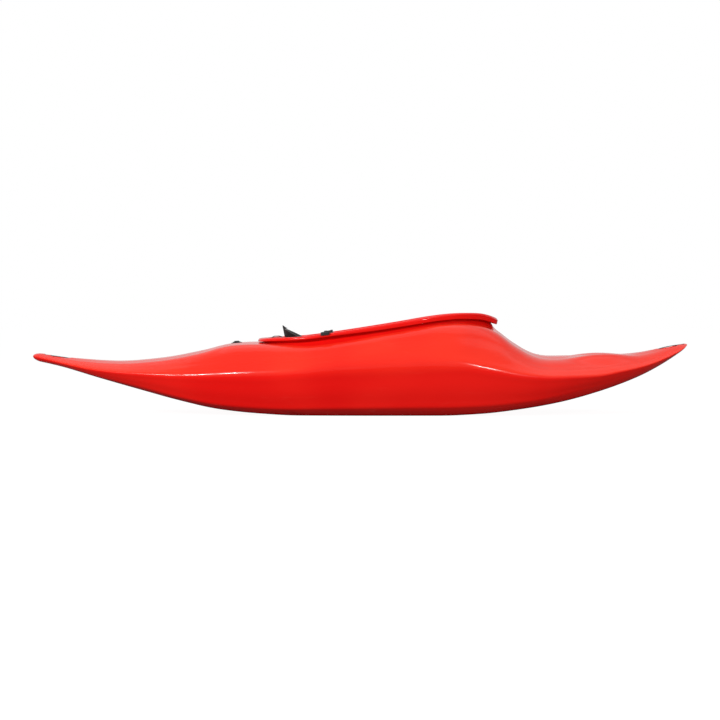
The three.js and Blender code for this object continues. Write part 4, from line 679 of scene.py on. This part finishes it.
# %% Skin
END_ROUND = 0.03  # the run over which each tip closes
SOLID_TIP = {"stern": 0.138, "bow": 0.1035}  # the runs at the ends with no room inside
NEAR = {"handle": 0.058, "drain": 0.025}  # half the runs with close stations
SEAT_EDGE = 0.0001  # half the run over which the end of a handle's seat drops


def skin_rows(x, wall, spans, turns, deck_columns):
    """Port points of the skin at each station: from the keel over the sheer, then to the
    hole's edge or the middle of the deck at even steps along the section."""
    side = half_section(x, wall, spans, turns)[:, : sum(spans[:3]) + sum(turns[:3])]
    line = deck_line(x, wall)
    steps = np.linalg.norm(np.diff(line, axis=1), axis=2)
    run = np.concatenate([np.zeros((len(x), 1)), np.cumsum(steps, axis=1)], axis=1)
    end = read_rows(-hole_half(x)[:, None], -line[..., 0], run)
    at = end * np.linspace(0, 1, deck_columns)[None]
    across, up = read_rows(at, run, line[..., 0]), read_rows(at, run, line[..., 1])
    across[:, -1] = hole_half(x)
    deck_x = np.broadcast_to(x[:, None], across.shape)
    up = up + toe_bump(deck_x, across)
    halves = (up, up) if wall else (pressed(deck_x, across, up), pressed(deck_x, -across, up))
    rows = [np.concatenate([side[..., 1], part], axis=1) for part in halves]
    return np.concatenate([side[..., 0], across], axis=1), rows


def end_scale(x, wall):
    """How much of its section each station keeps. Outside, the tips close along an
    ellipse. Inside, the first and the last station close to a point."""
    if wall:
        scale = np.ones(len(x))
        scale[[0, -1]] = 0
        return scale[:, None]
    left = np.clip((LENGTH / 2 - np.abs(x)) / END_ROUND, 0, 1)[:, None]
    return np.sqrt(1 - (1 - left) ** 2)


def between(start, end, step):
    """Even steps from the start up to, but without, the end."""
    return np.linspace(start, end, max(2, round(abs(end - start) / step)), endpoint=False)


hole_middle, hole_reach = (hole_front + hole_rear) / 2, (hole_front - hole_rear) / 2
hole_stations = hole_middle - hole_reach * np.cos(np.linspace(0, np.pi, 121))
tip_stations = LENGTH / 2 - END_ROUND * np.array([0, 0.01, 0.04, 0.09, 0.17, 0.28, 0.42, 0.6, 0.8])
seat_ends = [
    middle + side * HANDLE["half"] + nudge
    for middle in handle_middles
    for side in (-1, 1)
    for nudge in (-SEAT_EDGE, SEAT_EDGE)
]
stern, bow = handle_middles
tip, drain_x = LENGTH / 2 - END_ROUND, drain_middle[0]
outer_runs = (
    (-tip, stern - NEAR["handle"], 0.008),
    (stern - NEAR["handle"], stern + NEAR["handle"], 0.0028),
    (stern + NEAR["handle"], drain_x - NEAR["drain"], 0.014),
    (drain_x - NEAR["drain"], drain_x + NEAR["drain"], 0.0016),
    (drain_x + NEAR["drain"], hole_rear, 0.01),
    (hole_front + 0.01, bow - NEAR["handle"], 0.011),
    (bow - NEAR["handle"], tip, 0.0028),
)  # from, to and the step between stations
outer_parts = [-tip_stations, tip_stations, seat_ends, hole_stations]
outer_parts += [between(*run) for run in outer_runs]
outer_stations = np.unique(np.concatenate(outer_parts))
room_rear, room_front = SOLID_TIP["stern"] - LENGTH / 2, LENGTH / 2 - SOLID_TIP["bow"]
inner_step = 0.03
inner_aft = between(room_rear, hole_rear, inner_step)
inner_ahead = between(hole_front + inner_step, room_front, inner_step)
inner_stations = np.concatenate([[room_rear], inner_aft, hole_stations, inner_ahead, [room_front] * 2])
print(len(outer_stations), "stations outside and", len(inner_stations), "inside")


def skin():
    """Both grids on both sides, and two strips that join them round the hole. A column of
    a grid scaled towards the middle of its section closes its end."""
    points, faces, edges = [], [], []
    first = 0
    for stations, wall, spans, turns, deck in (
        (outer_stations, 0.0, (6, 9, 14, 0, 0), (5, 5, 6, 0), 52),
        (inner_stations, WALL, (4, 5, 6, 0, 0), (3, 3, 3, 0), 20),
    ):
        y, heights = skin_rows(stations, wall, spans, turns, deck)
        scale = end_scale(stations, wall)
        x = np.broadcast_to(stations[:, None], y.shape)
        columns = y.shape[1]
        in_hole = np.flatnonzero(np.isin(stations, hole_stations))
        for side, z in zip((1, -1), heights):
            middle = (z[:, :1] + z[:, -1:]) / 2
            grid = np.stack([x, side * y * scale, middle + (z - middle) * scale], axis=2)
            points.append(grid.reshape(-1, 3))
            faces.append(grid_faces(len(stations), columns, first))
            edges.append(first + in_hole * columns + columns - 1)
            first += len(stations) * columns
    for outer_edge, inner_edge in zip(edges[:2], edges[2:]):
        strip = [outer_edge[:-1], outer_edge[1:], inner_edge[1:], inner_edge[:-1]]
        faces.append(np.stack(strip, axis=1))
    return np.concatenate(points), np.concatenate(faces)


# %% [markdown]
# ## The cockpit rim
# The rim is a flange on a low neck that a sprayskirt's cord grips. One profile is carried
# round the egg. Its top follows the crest line, its lip hangs lower towards the nose, and
# its foot follows the deck and flares into it, so that the moulding reads as one piece
# with the shell.

# %% Rim
ROUND = {"inside": 0.0045, "outside": 0.0075, "lip": 0.002, "root": 0.003}  # radii of the profile
LIP_AT_REAR, lip_lean_share = 0.011, 0.3  # the lip's drop there, and how far a deeper lip leans in
lip_drop = guide(
    (0, LIP_AT_REAR), (0.45, 0.0115), (0.53, 0.016), (0.62, 0.019), (0.69, 0.022), (1, 0.022)
)
# The foot's spread up to a low climb, and how deep its edge bites into the deck
FOOT = {"spread": 0.022, "low_climb": 0.012, "bite": 0.0015}
foot_climb_share, foot_widening_share = 0.78, 0.5  # a foot that climbs higher spreads wider
foot_inside = np.array(
    [(-0.002, -0.0062), (-0.0038, -0.0058), (-0.0054, -0.0046), (-0.006, -0.0028)]
)  # the profile's way back up inside the neck


def arc(middle, radius, start, stop, steps):
    """Points of a round corner, with angles in degrees from the outward direction."""
    angle = np.radians(np.linspace(start, stop, steps + 1))
    return np.stack([middle[0] + radius * np.cos(angle), middle[1] + radius * np.sin(angle)], axis=1)


def rim():
    """Rings of the profile: (outside the neck, above the crest) for the flange, and
    (outside the neck, above the deck there) for the foot."""
    reach, wall, neck = RIM["reach"], RIM["thickness"], RIM["neck_wall"]
    inside, outside, lip, root = ROUND.values()
    over = [
        arc((inside - neck, -inside), inside, 180, 90, 6),
        arc((reach - outside, -outside), outside, 90, 0, 9),
    ]
    edge = [arc((reach - lip, lip), lip, 0, -90, 3), arc((reach - wall + lip, lip), lip, -90, -180, 3)]
    under = [
        arc((reach - outside, -outside), outside - wall, 0, 90, 4),
        arc((root, -wall - root), root, 90, 180, 4),
    ]
    flange = np.concatenate(over + edge + under)
    first = sum(map(len, over))
    edge = slice(first, first + sum(map(len, edge)))
    crest = rim_crest(rim_line[:, 0]) * DECK_HEIGHT
    free = crest - wall - deck_height(rim_line[:, 0], rim_line[:, 1])
    climb = (foot_climb_share * free)[:, None]
    spread = FOOT["spread"] + foot_widening_share * np.maximum(0, climb - FOOT["low_climb"])
    angle = np.radians(np.linspace(0, 90, 14))[None]
    bite, (inside_out, inside_up) = FOOT["bite"], foot_inside.T
    foot_out = [spread * (1 - np.cos(angle)), spread + bite, 0 * climb + inside_out]
    foot_up = [climb * (1 - np.sin(angle)), 0 * climb - bite, 0 * climb + inside_up]
    out = np.concatenate([0 * climb + flange[:, 0], *foot_out], axis=1)
    out[:, edge] -= lip_lean_share * (lip_drop(rim_line[:, :1]) - LIP_AT_REAR)
    plan = rim_line[:, None] + rim_outward[:, None] * out[..., None]
    x, feet = plan[..., 0], slice(len(flange), None)
    up = rim_crest(x[:, : len(flange)]) * DECK_HEIGHT + flange[:, 1]
    up[:, edge] -= lip_drop(x[:, edge])
    foot = deck_height(x[:, feet], plan[:, feet, 1]) + np.concatenate(foot_up, axis=1)
    return np.concatenate([plan, np.concatenate([up, foot], axis=1)[..., None]], axis=2)


# %% Make the shell
# The height over which the sides' painted shade turns into the deck's painted light, and where it grows by
# softer
PAINTED_DECK_LIGHT = {"crisp": 0.005, "softer": 0.08, "middle": 0.1, "half_run": 0.42}
points, faces = skin()
hull_skin = make_piece("hull_skin", points, faces, hull_red, sharp=32)
rings = rim()
rim_faces = grid_faces(*rings.shape[:2], round_rows=True, round_columns=True)
cockpit_rim = make_piece("cockpit_rim", rings, rim_faces, hull_red)
for piece in (hull_skin, cockpit_rim):
    x, y, z = vertex_values(piece.data, "co").T
    amidships = np.maximum(0, 1 - ((x - PAINTED_DECK_LIGHT["middle"]) / PAINTED_DECK_LIGHT["half_run"]) ** 2)
    change = PAINTED_DECK_LIGHT["crisp"] + PAINTED_DECK_LIGHT["softer"] * amidships**2
    # the share of the deck's painted light; under the sheer, the sides' painted shade
    above = np.clip((z - sheer_rise(x) * DECK_HEIGHT) / change + 0.5, 0, 1)
    # the rim takes 0, the sides' deeper red, as a painted shade
    point_value(piece.data, "deck", above * (piece is hull_skin))
    dress(piece, "hull", "hull", "hull_shell")

# %% [markdown]
# ## Moulded and machined finishes
# The fittings are black plastic with a fine spark-eroded grain, and a little paler where
# hands and boots rub them. Knobs are smoother. The foot rails are brushed aluminium, and
# the screws and pins are stainless steel. One function makes each kind, and its arguments
# set how dark, how smooth and how grainy it is.


# %% Hard finishes
def moulded_finish(name, dark, pale, gloss, grain):
    """Grained plastic: slow blotches between two shades, rubbed patches and a fine grain."""
    made = new_finish(name)
    blotches = made.noise(14.0, 3.0).ramp(0.35, 0.65)
    rubbed = made.noise(38.0, 5.0, 0.7, distortion=0.4).ramp(0.58, 0.76)
    tone = made.mix(rubbed * 0.3, made.mix(blotches, dark, pale), colour(74, 74, 77))
    rough = gloss + 0.1 * blotches - 0.08 * rubbed
    skin = made.bump(made.noise(1500.0, 1.0), grain, 0.6)
    return made.surface(base_color=tone, roughness=rough, normal=skin)


def brushed_finish(name, metal, along, gloss):
    """Brushed metal: streaks are a noise drawn out along the brushing."""
    made = new_finish(name)
    streaks = made.noise(1.0, 3.0, 0.6, at=made.point(along))
    smudges = made.noise(22.0, 3.0).ramp(0.45, 0.7)
    tone = made.mix(streaks.ramp(0.3, 0.7), metal, colour(206, 208, 210))
    rough = gloss + 0.16 * streaks + 0.1 * smudges
    skin = made.bump(streaks, 0.00006, 0.5)
    return made.surface(base_color=tone, metallic=1.0, roughness=rough, normal=skin)


def rubber_finish():
    """Near-black with grey dust in patches, which is also rougher."""
    made = new_finish("seal_rubber")
    dust = made.noise(60.0, 4.0, 0.6).ramp(0.5, 0.75)
    tone = made.mix(dust * 0.4, colour(26, 26, 27), colour(66, 64, 61))
    skin = made.bump(made.noise(900.0, 2.0), 0.00008, 0.6)
    return made.surface(base_color=tone, roughness=0.7 + 0.15 * dust, normal=skin)


black_dark, black_pale = colour(17, 17, 18), colour(26, 26, 28)
finishes = {
    "moulded_black": moulded_finish("moulded_black", black_dark, black_pale, 0.44, 0.00009),
    "knob": moulded_finish("knob_satin", colour(15, 15, 16), colour(22, 22, 24), 0.3, 0.00003),
    "drain": moulded_finish("drain_satin", colour(20, 20, 22), colour(28, 28, 30), 0.3, 0.00003),
    "seal": rubber_finish(),
    "rail": brushed_finish("rail_brushed", colour(176, 178, 182), (6, 700, 700), 0.26),
    "steel": brushed_finish("steel_brushed", colour(150, 151, 154), (500, 60, 500), 0.22),
}
print("hard finishes:", sorted(finishes))

# %% [markdown]
# ## Foam, cloth and webbing
# Pads wear a plain weave of fine yarn over foam, with a seam round their face and a row of
# stitches on each side of it. The threads are drawn from values that each pad carries: how
# far a point is from the seam and how far along it. The pillars and the foot pad are bare
# closed-cell foam, whose skin shows its cells.


# %% Soft finishes
YARN, STITCH = 0.0011, 0.0046  # a yarn's width, and the run from one stitch to the next
SEAM = {"groove": 0.0018, "half": 0.0021, "stitches_off": 0.0026}
WEBBING = {"rib": 0.0021, "weft": 0.0015, "slant": 0.00035}


def cloth_finish():
    """A plain weave: two sines cross, and their product says which yarn lies on top."""
    made = new_finish("pad_weave")
    laid = made.node("ShaderNodeUVMap", {"uv_map": "weave"})
    across, along = made.axis(laid, "X"), made.axis(laid, "Y")
    over = across.wave(2 * YARN) * along.wave(2 * YARN)
    strands = across.wave(YARN / 2) * 0.12 + along.wave(YARN / 2) * 0.12
    weave = over.math("ABSOLUTE") ** 0.5 * 0.8 + strands
    off_row = (made.attribute("seam").math("ABSOLUTE") - SEAM["stitches_off"]).math("ABSOLUTE")
    stitches = made.attribute("stitch").wave(STITCH).ramp(-0.5, -0.1)
    thread = (1 - off_row.ramp(0.0003, 0.0007)) * stitches
    faded = made.noise(16.0, 4.0, 0.6).ramp(0.4, 0.7)
    fuzz = made.noise(700.0, 2.0)
    tone = made.mix(faded * 0.6, colour(37, 38, 41), colour(55, 56, 59))
    # near black where the weave is low: painted shade between the yarns
    tone = made.mix(weave.ramp(0.1, 0.5), colour(18, 18, 20), tone)
    tone = made.mix(thread, tone, colour(92, 92, 94))
    rough = 0.82 + 0.1 * fuzz
    skin = made.bump(weave + 1.6 * thread + 0.25 * fuzz, 0.00022, 0.8)
    soft = {"sheen_weight": 0.25, "specular_ior_level": 0.25}
    return made.surface(base_color=tone, roughness=rough, normal=skin, **soft)


def foam_finish():
    """Closed-cell foam: the distance to the nearest cell's middle gives the bubbled skin."""
    made = new_finish("foam_cells")
    inputs = {"Vector": made.point(), "Scale": 620.0}
    cells = made.node("ShaderNodeTexVoronoi", {"feature": "F1"}, inputs, output="Distance")
    cuts = made.noise(26.0, 4.0, 0.6).ramp(0.4, 0.66)
    tone = made.mix(cuts * 0.7, colour(58, 59, 62), colour(76, 77, 80))
    # darker towards each cell's edge, where the skin is low: painted shade between the bubbles
    tone = made.mix(cells.ramp(0.35, 0.75) * 0.45, tone, colour(38, 38, 40))
    rough = 0.86 + 0.08 * cuts
    skin = made.bump(1 - cells, 0.0003, 0.7)
    return made.surface(base_color=tone, roughness=rough, normal=skin, specular_ior_level=0.2)


def webbing_finish():
    """Webbing: ribs of warp across its width, each crossed by slanting weft."""
    made = new_finish("webbing_weave")
    where = made.node("ShaderNodeTexCoord", output="Object")
    ribs = made.axis(where, "Y").wave(WEBBING["rib"])
    weft = (made.attribute("run") + ribs * WEBBING["slant"]).wave(WEBBING["weft"])
    height = ribs * 0.5 + weft * 0.35
    worn = made.noise(50.0, 4.0, 0.6).ramp(0.45, 0.7)
    # darker where the ribs and weft are low: painted shade in the grooves
    tone = made.mix(height.ramp(-0.5, 0.5), colour(8, 8, 9), colour(22, 22, 24))
    tone = made.mix(worn * 0.25, tone, colour(46, 46, 48))
    rough = 0.62 + 0.15 * worn
    skin = made.bump(height, 0.0003, 0.8)
    return made.surface(base_color=tone, roughness=rough, normal=skin, sheen_weight=0.2)


finishes["pad"] = cloth_finish()
finishes["foam"] = foam_finish()
finishes["webbing"] = webbing_finish()
print("all finishes:", sorted(finishes))

# %% [markdown]
# ## Fittings with eased edges
# No moulding or bar has a knife edge. Each hard fitting is the CAD piece with its flat
# faces joined again and its edges rounded with a Bevel modifier, and stands for the CAD
# node on the same body. A Weighted Normal modifier keeps the flats looking flat. Three
# kinds then move closer to the photograph: the grab handles sink into their seats, the
# clips stand lower over the rim, and the back band's tab gets a curved front edge.

# %% Eased fittings
body_of_node = {node: body for body, nodes in behaviour["bodies"].items() for node in nodes}
slot_of_node = {part["node"]: part["material_slot"] for part in frame["record"]["subparts"]}
EASE = {
    "moulded_black": 0.0008, "knob": 0.0007, "drain": 0.0005,
    "rail": 0.0006, "steel": 0.0004, "seal": 0.0003,
}
handle_lowered_share, clip_lowered_share = 0.68, 0.3
FIN = {"cut_from": 0.272, "cut_to": 0.3055, "above": 0.304, "ease": 0.008}  # heights of the tab
fin_front = np.array(
    [
        (0.279, -0.2267), (0.287, -0.237), (0.293, -0.2478),
        (0.2985, -0.2588), (0.3025, -0.2655), (0.3068, -0.271),
    ]
)  # heights and places of the tab's front edge


def copy_of(node, name):
    """A copy of a CAD node's mesh with its corners welded."""
    piece = bpy.data.objects.new(name, frame["nodes"][node].data.copy())
    bpy.context.scene.collection.objects.link(piece)
    work = bmesh.new()
    work.from_mesh(piece.data)
    bmesh.ops.remove_doubles(work, verts=work.verts, dist=1e-5)
    work.to_mesh(piece.data)
    work.free()
    piece.data.materials.clear()
    piece.data.materials.append(finishes[slot_of_node[node]])
    return piece


def eased(node):
    """A CAD piece with its flat faces merged and its sharp edges bevelled in two steps."""
    slot = slot_of_node[node]
    piece = copy_of(node, node + "_eased")
    work = bmesh.new()
    work.from_mesh(piece.data)
    bmesh.ops.dissolve_limit(work, angle_limit=math.radians(0.5), verts=work.verts, edges=work.edges)
    work.to_mesh(piece.data)
    work.free()
    piece.data.shade_smooth()
    bevel = piece.modifiers.new("eased_edges", "BEVEL")
    bevel.width, bevel.segments = EASE[slot], 2
    bevel.limit_method, bevel.angle_limit = "ANGLE", math.radians(38)
    bevel.use_clamp_overlap = True
    piece.modifiers.new("flat_faces", "WEIGHTED_NORMAL").keep_sharp = True
    return dress(piece, body_of_node[node], slot, node)


def lowered(mesh, level, share):
    """Takes away a share of how far each point stands above a level, given along x."""
    places = vertex_values(mesh, "co")
    places[:, 2] -= share * np.maximum(0, places[:, 2] - level(places[:, 0]))
    move_vertices(mesh, places)


def seat_floor(x):
    """The floor of a handle's seat: the deck's height on the middle line, less a depth."""
    return z_middle(x) - HANDLE["under"]


def rim_top(x):
    """The height of the rim's crest at a place along the boat."""
    return rim_crest(x) * DECK_HEIGHT


def fin_outline(mesh):
    """Curves the front edge of the back band's tab through (height, x) pairs. Level cuts
    across the tab's front and sides give the edge its points."""
    work = bmesh.new()
    work.from_mesh(mesh)
    tab = [
        face
        for face in work.faces
        if max(corner.co.z for corner in face.verts) > FIN["above"] and abs(face.normal.z) < 0.9
    ]
    for height in np.linspace(FIN["cut_from"], FIN["cut_to"], 10):
        edges = {edge for face in tab for edge in face.edges}
        points = {corner for face in tab for corner in face.verts}
        cut = bmesh.ops.bisect_plane(
            work, geom=[*tab, *edges, *points], plane_co=(0, 0, height), plane_no=(0, 0, 1)
        )
        tab = [part for part in cut["geom"] if isinstance(part, bmesh.types.BMFace)]
    low = fin_front[0, 0] - FIN["ease"]
    ahead = [face for face in tab if face.normal.x > 0.3]
    for corner in {corner for face in ahead for corner in face.verts if corner.co.z > low}:
        curve = np.interp(corner.co.z, fin_front[:, 0], fin_front[:, 1])
        share = min(1, max(0, (corner.co.z - low) / FIN["ease"]))
        corner.co.x += share * (curve - corner.co.x)
    work.to_mesh(mesh)
    work.free()


hard_nodes = [node for node, slot in slot_of_node.items() if slot in EASE and node != "drain_plug"]
for node in hard_nodes:
    piece = eased(node)
    if "_handle" in node:
        lowered(piece.data, seat_floor, handle_lowered_share)
    if node.startswith("ratchet_body"):
        lowered(piece.data, rim_top, clip_lowered_share)
    if node == "backband_shell":
        fin_outline(piece.data)
print("eased", len(hard_nodes), "fittings")

# %% [markdown]
# ## The drain plug
# The plug is a low cap with a grip bar across it. Its top is a height over a disc, worked
# out on rings and spokes: a rounded cap edge, a shallow dish inside it and the bar rising
# from the dish. A shank below it goes into the insert.

# %% Drain plug
PLUG = {"cap": 0.0148, "under": 0.0032, "top": 0.0044, "dish": 0.0006, "dish_radius": 0.012}
PLUG_BAR = {"top": 0.0068, "half": 0.0084, "side": 0.0027}
SHANK = {"radius": 0.0087, "below": 0.01, "chamfer": 0.001}
FALL = {"dish": 0.003, "bar_end": 0.0016, "bar_side": 0.0014}  # runs over which a height falls


def step_down(value, edge, ease):
    """1 inside an edge and 0 outside it, with an S-shaped fall."""
    t = np.clip((edge - value) / ease + 0.5, 0, 1)
    return t * t * (3 - 2 * t)


def drain_plug_surface(rings=64, spokes=180):
    """Rings of points: the cap's top as a height over its disc, and the shank below it."""
    cap, under = PLUG["cap"], PLUG["under"]
    radius = cap * np.sin(np.linspace(0, np.pi / 2, rings))[:, None]
    angle = np.linspace(0, 2 * np.pi, spokes, endpoint=False)
    x, y = radius * np.cos(angle), radius * np.sin(angle)
    dish = PLUG["dish"] * step_down(radius, PLUG["dish_radius"], FALL["dish"])
    low = under + (PLUG["top"] - under - dish) * np.sqrt(np.clip(1 - (radius / cap) ** 6, 0, 1))
    bar = step_down(np.abs(x), PLUG_BAR["half"], FALL["bar_end"])
    bar = bar * step_down(np.abs(y), PLUG_BAR["side"], FALL["bar_side"])
    top = np.stack([x, y, low + (PLUG_BAR["top"] - low) * bar], axis=2)
    wide, deep, chamfer = SHANK.values()
    shank = [(cap, under), (wide, under), (wide, chamfer - deep), (wide - chamfer, -deep), (0, -deep)]
    lower = [np.stack([r * np.cos(angle), r * np.sin(angle), 0 * angle + z], 1) for r, z in shank]
    return np.concatenate([top, np.stack(lower)])


side = unit(np.cross(drain_up, (1.0, 0, 0)))
drain_axes = np.stack([np.cross(side, drain_up), side, drain_up])
plug_points = drain_middle + drain_plug_surface() @ drain_axes
plug_faces = grid_faces(*plug_points.shape[:2], round_columns=True)
plug = make_piece("drain_plug_cap", plug_points, plug_faces, finishes["drain"])
dress(plug, "drain_turn", "drain", "drain_plug")

# %% [markdown]
# ## Padding
# Each pad starts from its CAD solid, drawn in a little and remeshed to even quads. A cloth
# simulation with pressure inside fills it out, and no point may move further than a cap, so
# that the pad stays in its place. A subdivision smooths it, and then the seam is pressed
# in along a line that keeps its distance from the pad's outline.


# %% Pad helpers
def apply_modifiers(piece):
    """The mesh that the modifiers make takes the place of the piece's own."""
    depsgraph = bpy.context.evaluated_depsgraph_get()
    made = bpy.data.meshes.new_from_object(piece.evaluated_get(depsgraph))
    piece.modifiers.clear()
    piece.data = made


def remeshed(node, name, voxel, rounds):
    """A copy of a CAD node in even quads, relaxed so that its edges turn soft."""
    piece = copy_of(node, name)
    even = piece.modifiers.new("even_quads", "REMESH")
    even.mode, even.voxel_size = "VOXEL", voxel
    relax = piece.modifiers.new("relax", "SMOOTH")
    relax.factor, relax.iterations = 0.5, rounds
    apply_modifiers(piece)
    return piece


def dress_soft(piece, node):
    """Shades a pad smooth and dresses it as its CAD node."""
    piece.data.shade_smooth()
    print(piece.name, "has", len(piece.data.polygons), "faces")
    dress(piece, body_of_node[node], slot_of_node[node], node)


def weave_map(mesh):
    """A UV map in metres: each face is laid flat along the axis that it faces most."""
    corners = np.empty(len(mesh.loops), dtype=np.int32)
    counts = np.empty(len(mesh.polygons), dtype=np.int32)
    normals = np.empty(len(mesh.polygons) * 3)
    mesh.loops.foreach_get("vertex_index", corners)
    mesh.polygons.foreach_get("loop_total", counts)
    mesh.polygons.foreach_get("normal", normals)
    facing = np.repeat(np.abs(normals.reshape(-1, 3)).argmax(axis=1), counts)
    at = vertex_values(mesh, "co")[corners]
    flat = [np.where(facing == 0, at[:, 1], at[:, 0]), np.where(facing == 2, at[:, 1], at[:, 2])]
    mesh.uv_layers.new(name="weave").data.foreach_set("uv", np.stack(flat, axis=1).ravel())


def inflate(piece, cap):
    """Cloth with air pressure for 20 frames, then each point's move is cut to the cap."""
    start = vertex_values(piece.data, "co")
    cloth = piece.modifiers.new("swell", "CLOTH").settings
    cloth.quality, cloth.mass = 5, 0.25
    cloth.tension_stiffness = cloth.compression_stiffness = 12
    cloth.bending_stiffness = 0.6
    cloth.use_pressure, cloth.uniform_pressure_force = True, 1.2
    cloth.effector_weights.gravity = 0
    for step in range(1, 21):
        bpy.context.scene.frame_set(step)
    apply_modifiers(piece)
    bpy.context.scene.frame_set(1)
    move = vertex_values(piece.data, "co") - start
    size = np.linalg.norm(move, axis=1, keepdims=True)
    move_vertices(piece.data, start + move * np.minimum(1, cap / np.maximum(size, 1e-9)))
    print(piece.name, "swelled by up to", round(float(size.max()) * 1000, 1), "mm, cut to", cap * 1000)


def seam_values(places, axes, share, channels):
    """Distance from the seam and the run along it. The outline is a rounded rectangle in
    two of the axes, a sum of fifth powers, and the seam is where it has shrunk to a share.
    A channel is a straight seam at a share of the half width along the second axis."""
    flat = places[:, axes]
    middle = (flat.max(axis=0) + flat.min(axis=0)) / 2
    half = (flat.max(axis=0) - flat.min(axis=0)) / 2
    u, v = ((flat - middle) / half).T
    seam = ((np.abs(u) ** 5 + np.abs(v) ** 5) ** 0.2 - share) * half.min()
    run = np.where(np.abs(v) > np.abs(u), flat[:, 0], flat[:, 1])
    for channel in channels:
        other = (v - channel) * half[1]
        nearer = (np.abs(other) < np.abs(seam)) & (seam < 0)
        seam, run = np.where(nearer, other, seam), np.where(nearer, flat[:, 0], run)
    return seam, run


def pad(node, axes, cap, share=0.84, channels=(), voxel=0.0045, drawn_in=0.003):
    """The CAD solid, inflated. The seam's groove is a bell curve of the distance from it."""
    piece = remeshed(node, node + "_sewn", voxel, 12)
    start = vertex_values(piece.data, "co") - drawn_in * vertex_values(piece.data, "normal")
    move_vertices(piece.data, start)
    if cap:
        inflate(piece, cap)
    rounder = piece.modifiers.new("rounder", "SUBSURF")
    rounder.levels = rounder.render_levels = 1
    apply_modifiers(piece)
    places = vertex_values(piece.data, "co")
    seam, run = seam_values(places, axes, share, channels)
    depth = SEAM["groove"] * np.exp(-((seam / SEAM["half"]) ** 2))
    move_vertices(piece.data, places - depth[:, None] * vertex_values(piece.data, "normal"))
    point_value(piece.data, "seam", seam)
    point_value(piece.data, "stitch", run)
    weave_map(piece.data)
    dress_soft(piece, node)


# %% Pads
pad("seat_pad", [0, 1], cap=0.005, share=0.88)
pad("leg_lifter", [0, 1], cap=0.005, share=0.86)
pad("backband_pad", [1, 2], cap=0.0035, channels=(-0.3, 0.3), voxel=0.0038)
for side_name in ("left", "right"):
    pad("hip_pad_" + side_name, [0, 2], cap=0.005, share=0.82)
    pad("thigh_pad_" + side_name, [0, 1], cap=0, share=0.86, voxel=0.0035, drawn_in=0.0005)

# %% [markdown]
# ## Bare foam
# The foot pad and the two pillars are cut from closed-cell foam. A saw leaves their edges
# soft and their faces not quite flat, so each is remeshed, relaxed and roughened with a
# slow sum of sines.


# %% Foam blocks
SAWN = {"inside": 0.0006, "wave": 0.00018}


def foam_block(node, voxel):
    """The remeshed block, moved in by a little and a sum of three slanting sines."""
    piece = remeshed(node, node + "_cut", voxel, 3)
    places, normals = vertex_values(piece.data, "co"), vertex_values(piece.data, "normal")
    x, y, z = (places * 2 * np.pi).T
    uneven = np.sin(17 * x + 3 * z) + np.sin(23 * y + 11 * x) + np.sin(29 * z + 7 * y)
    depth = SAWN["inside"] + SAWN["wave"] * uneven
    move_vertices(piece.data, places - depth[:, None] * normals)
    dress_soft(piece, node)


foam_block("foot_pad", 0.004)
foam_block("rear_pillar", 0.006)
foam_block("front_pillar", 0.006)

# %% [markdown]
# ## The webbing loop
# Behind the back band a stiff loop of webbing stands out, by which the band is pulled up.
# Its line leans with the band. It is drawn through a few points, rounded by averaging, and
# a flat section with soft edges is carried along it.

# %% Webbing loop
BAND = {"low": 0.165, "high": 0.29676, "middle": -0.05, "radius": 0.185, "lean": 0.03, "wall": 0.004}
LOOP = {"reach": 0.054, "half": 0.019, "thick": 0.0025, "gap": 0.0003}
loop_end_shares = (0.22, 0.795)  # of the band's height
loop_shares = np.array(
    [
        (0, 0.68), (0, 0.89), (0.36, 1), (0.72, 0.99), (0.98, 0.855), (1, 0.605),
        (0.655, 0.316), (0.04, 0.184), (0, 0),
    ]
)  # of the loop's reach and of its height


def band_back(z):
    """The outer face of the back band's cone at a height, on the middle line."""
    rise = (z - BAND["low"]) / (BAND["high"] - BAND["low"])
    return BAND["middle"] - BAND["radius"] - BAND["lean"] * rise - BAND["wall"]


def webbing_loop(steps=240, around=28):
    """Rings of a flat section round the loop's line, and each ring's run along it."""
    low, high = loop_end_shares
    z = BAND["low"] + (BAND["high"] - BAND["low"]) * (low + (high - low) * loop_shares[:, 1])
    x = band_back(z) - LOOP["gap"] - LOOP["thick"] / 2 - LOOP["reach"] * loop_shares[:, 0]
    run = run_along(x, z)
    at = np.linspace(0, run[-1], steps)
    line = np.stack([np.interp(at, run, x), np.interp(at, run, z)], axis=1)
    ends = np.pad(line, ((6, 6), (0, 0)), mode="reflect", reflect_type="odd")
    line = np.stack([np.convolve(ends[:, k], bell(13), mode="valid") for k in (0, 1)], axis=1)
    along = unit(np.gradient(line, axis=0))
    angle = np.linspace(0, 2 * np.pi, around, endpoint=False)
    closing = np.ones(steps)[:, None]
    closing[[0, -1]] = 0
    flat = signed_power(np.cos(angle), 0.25) * LOOP["half"] * closing
    thick = signed_power(np.sin(angle), 0.5) * LOOP["thick"] / 2 * closing
    x, z = line[:, :1] - along[:, 1:] * thick, line[:, 1:] + along[:, :1] * thick
    return np.stack([x, flat, z], axis=2), at


loop_points, loop_run = webbing_loop()
loop_faces = grid_faces(*loop_points.shape[:2], round_columns=True)
loop = make_piece("backband_loop_webbing", loop_points, loop_faces, finishes["webbing"])
loop_places = vertex_values(loop.data, "co")
nearest = np.abs(loop_places[:, None, ::2] - loop_points[None, :, 7, ::2]).sum(axis=2).argmin(axis=1)
point_value(loop.data, "run", loop_run[nearest])
dress(loop, "backband", "webbing", "backband_loop")
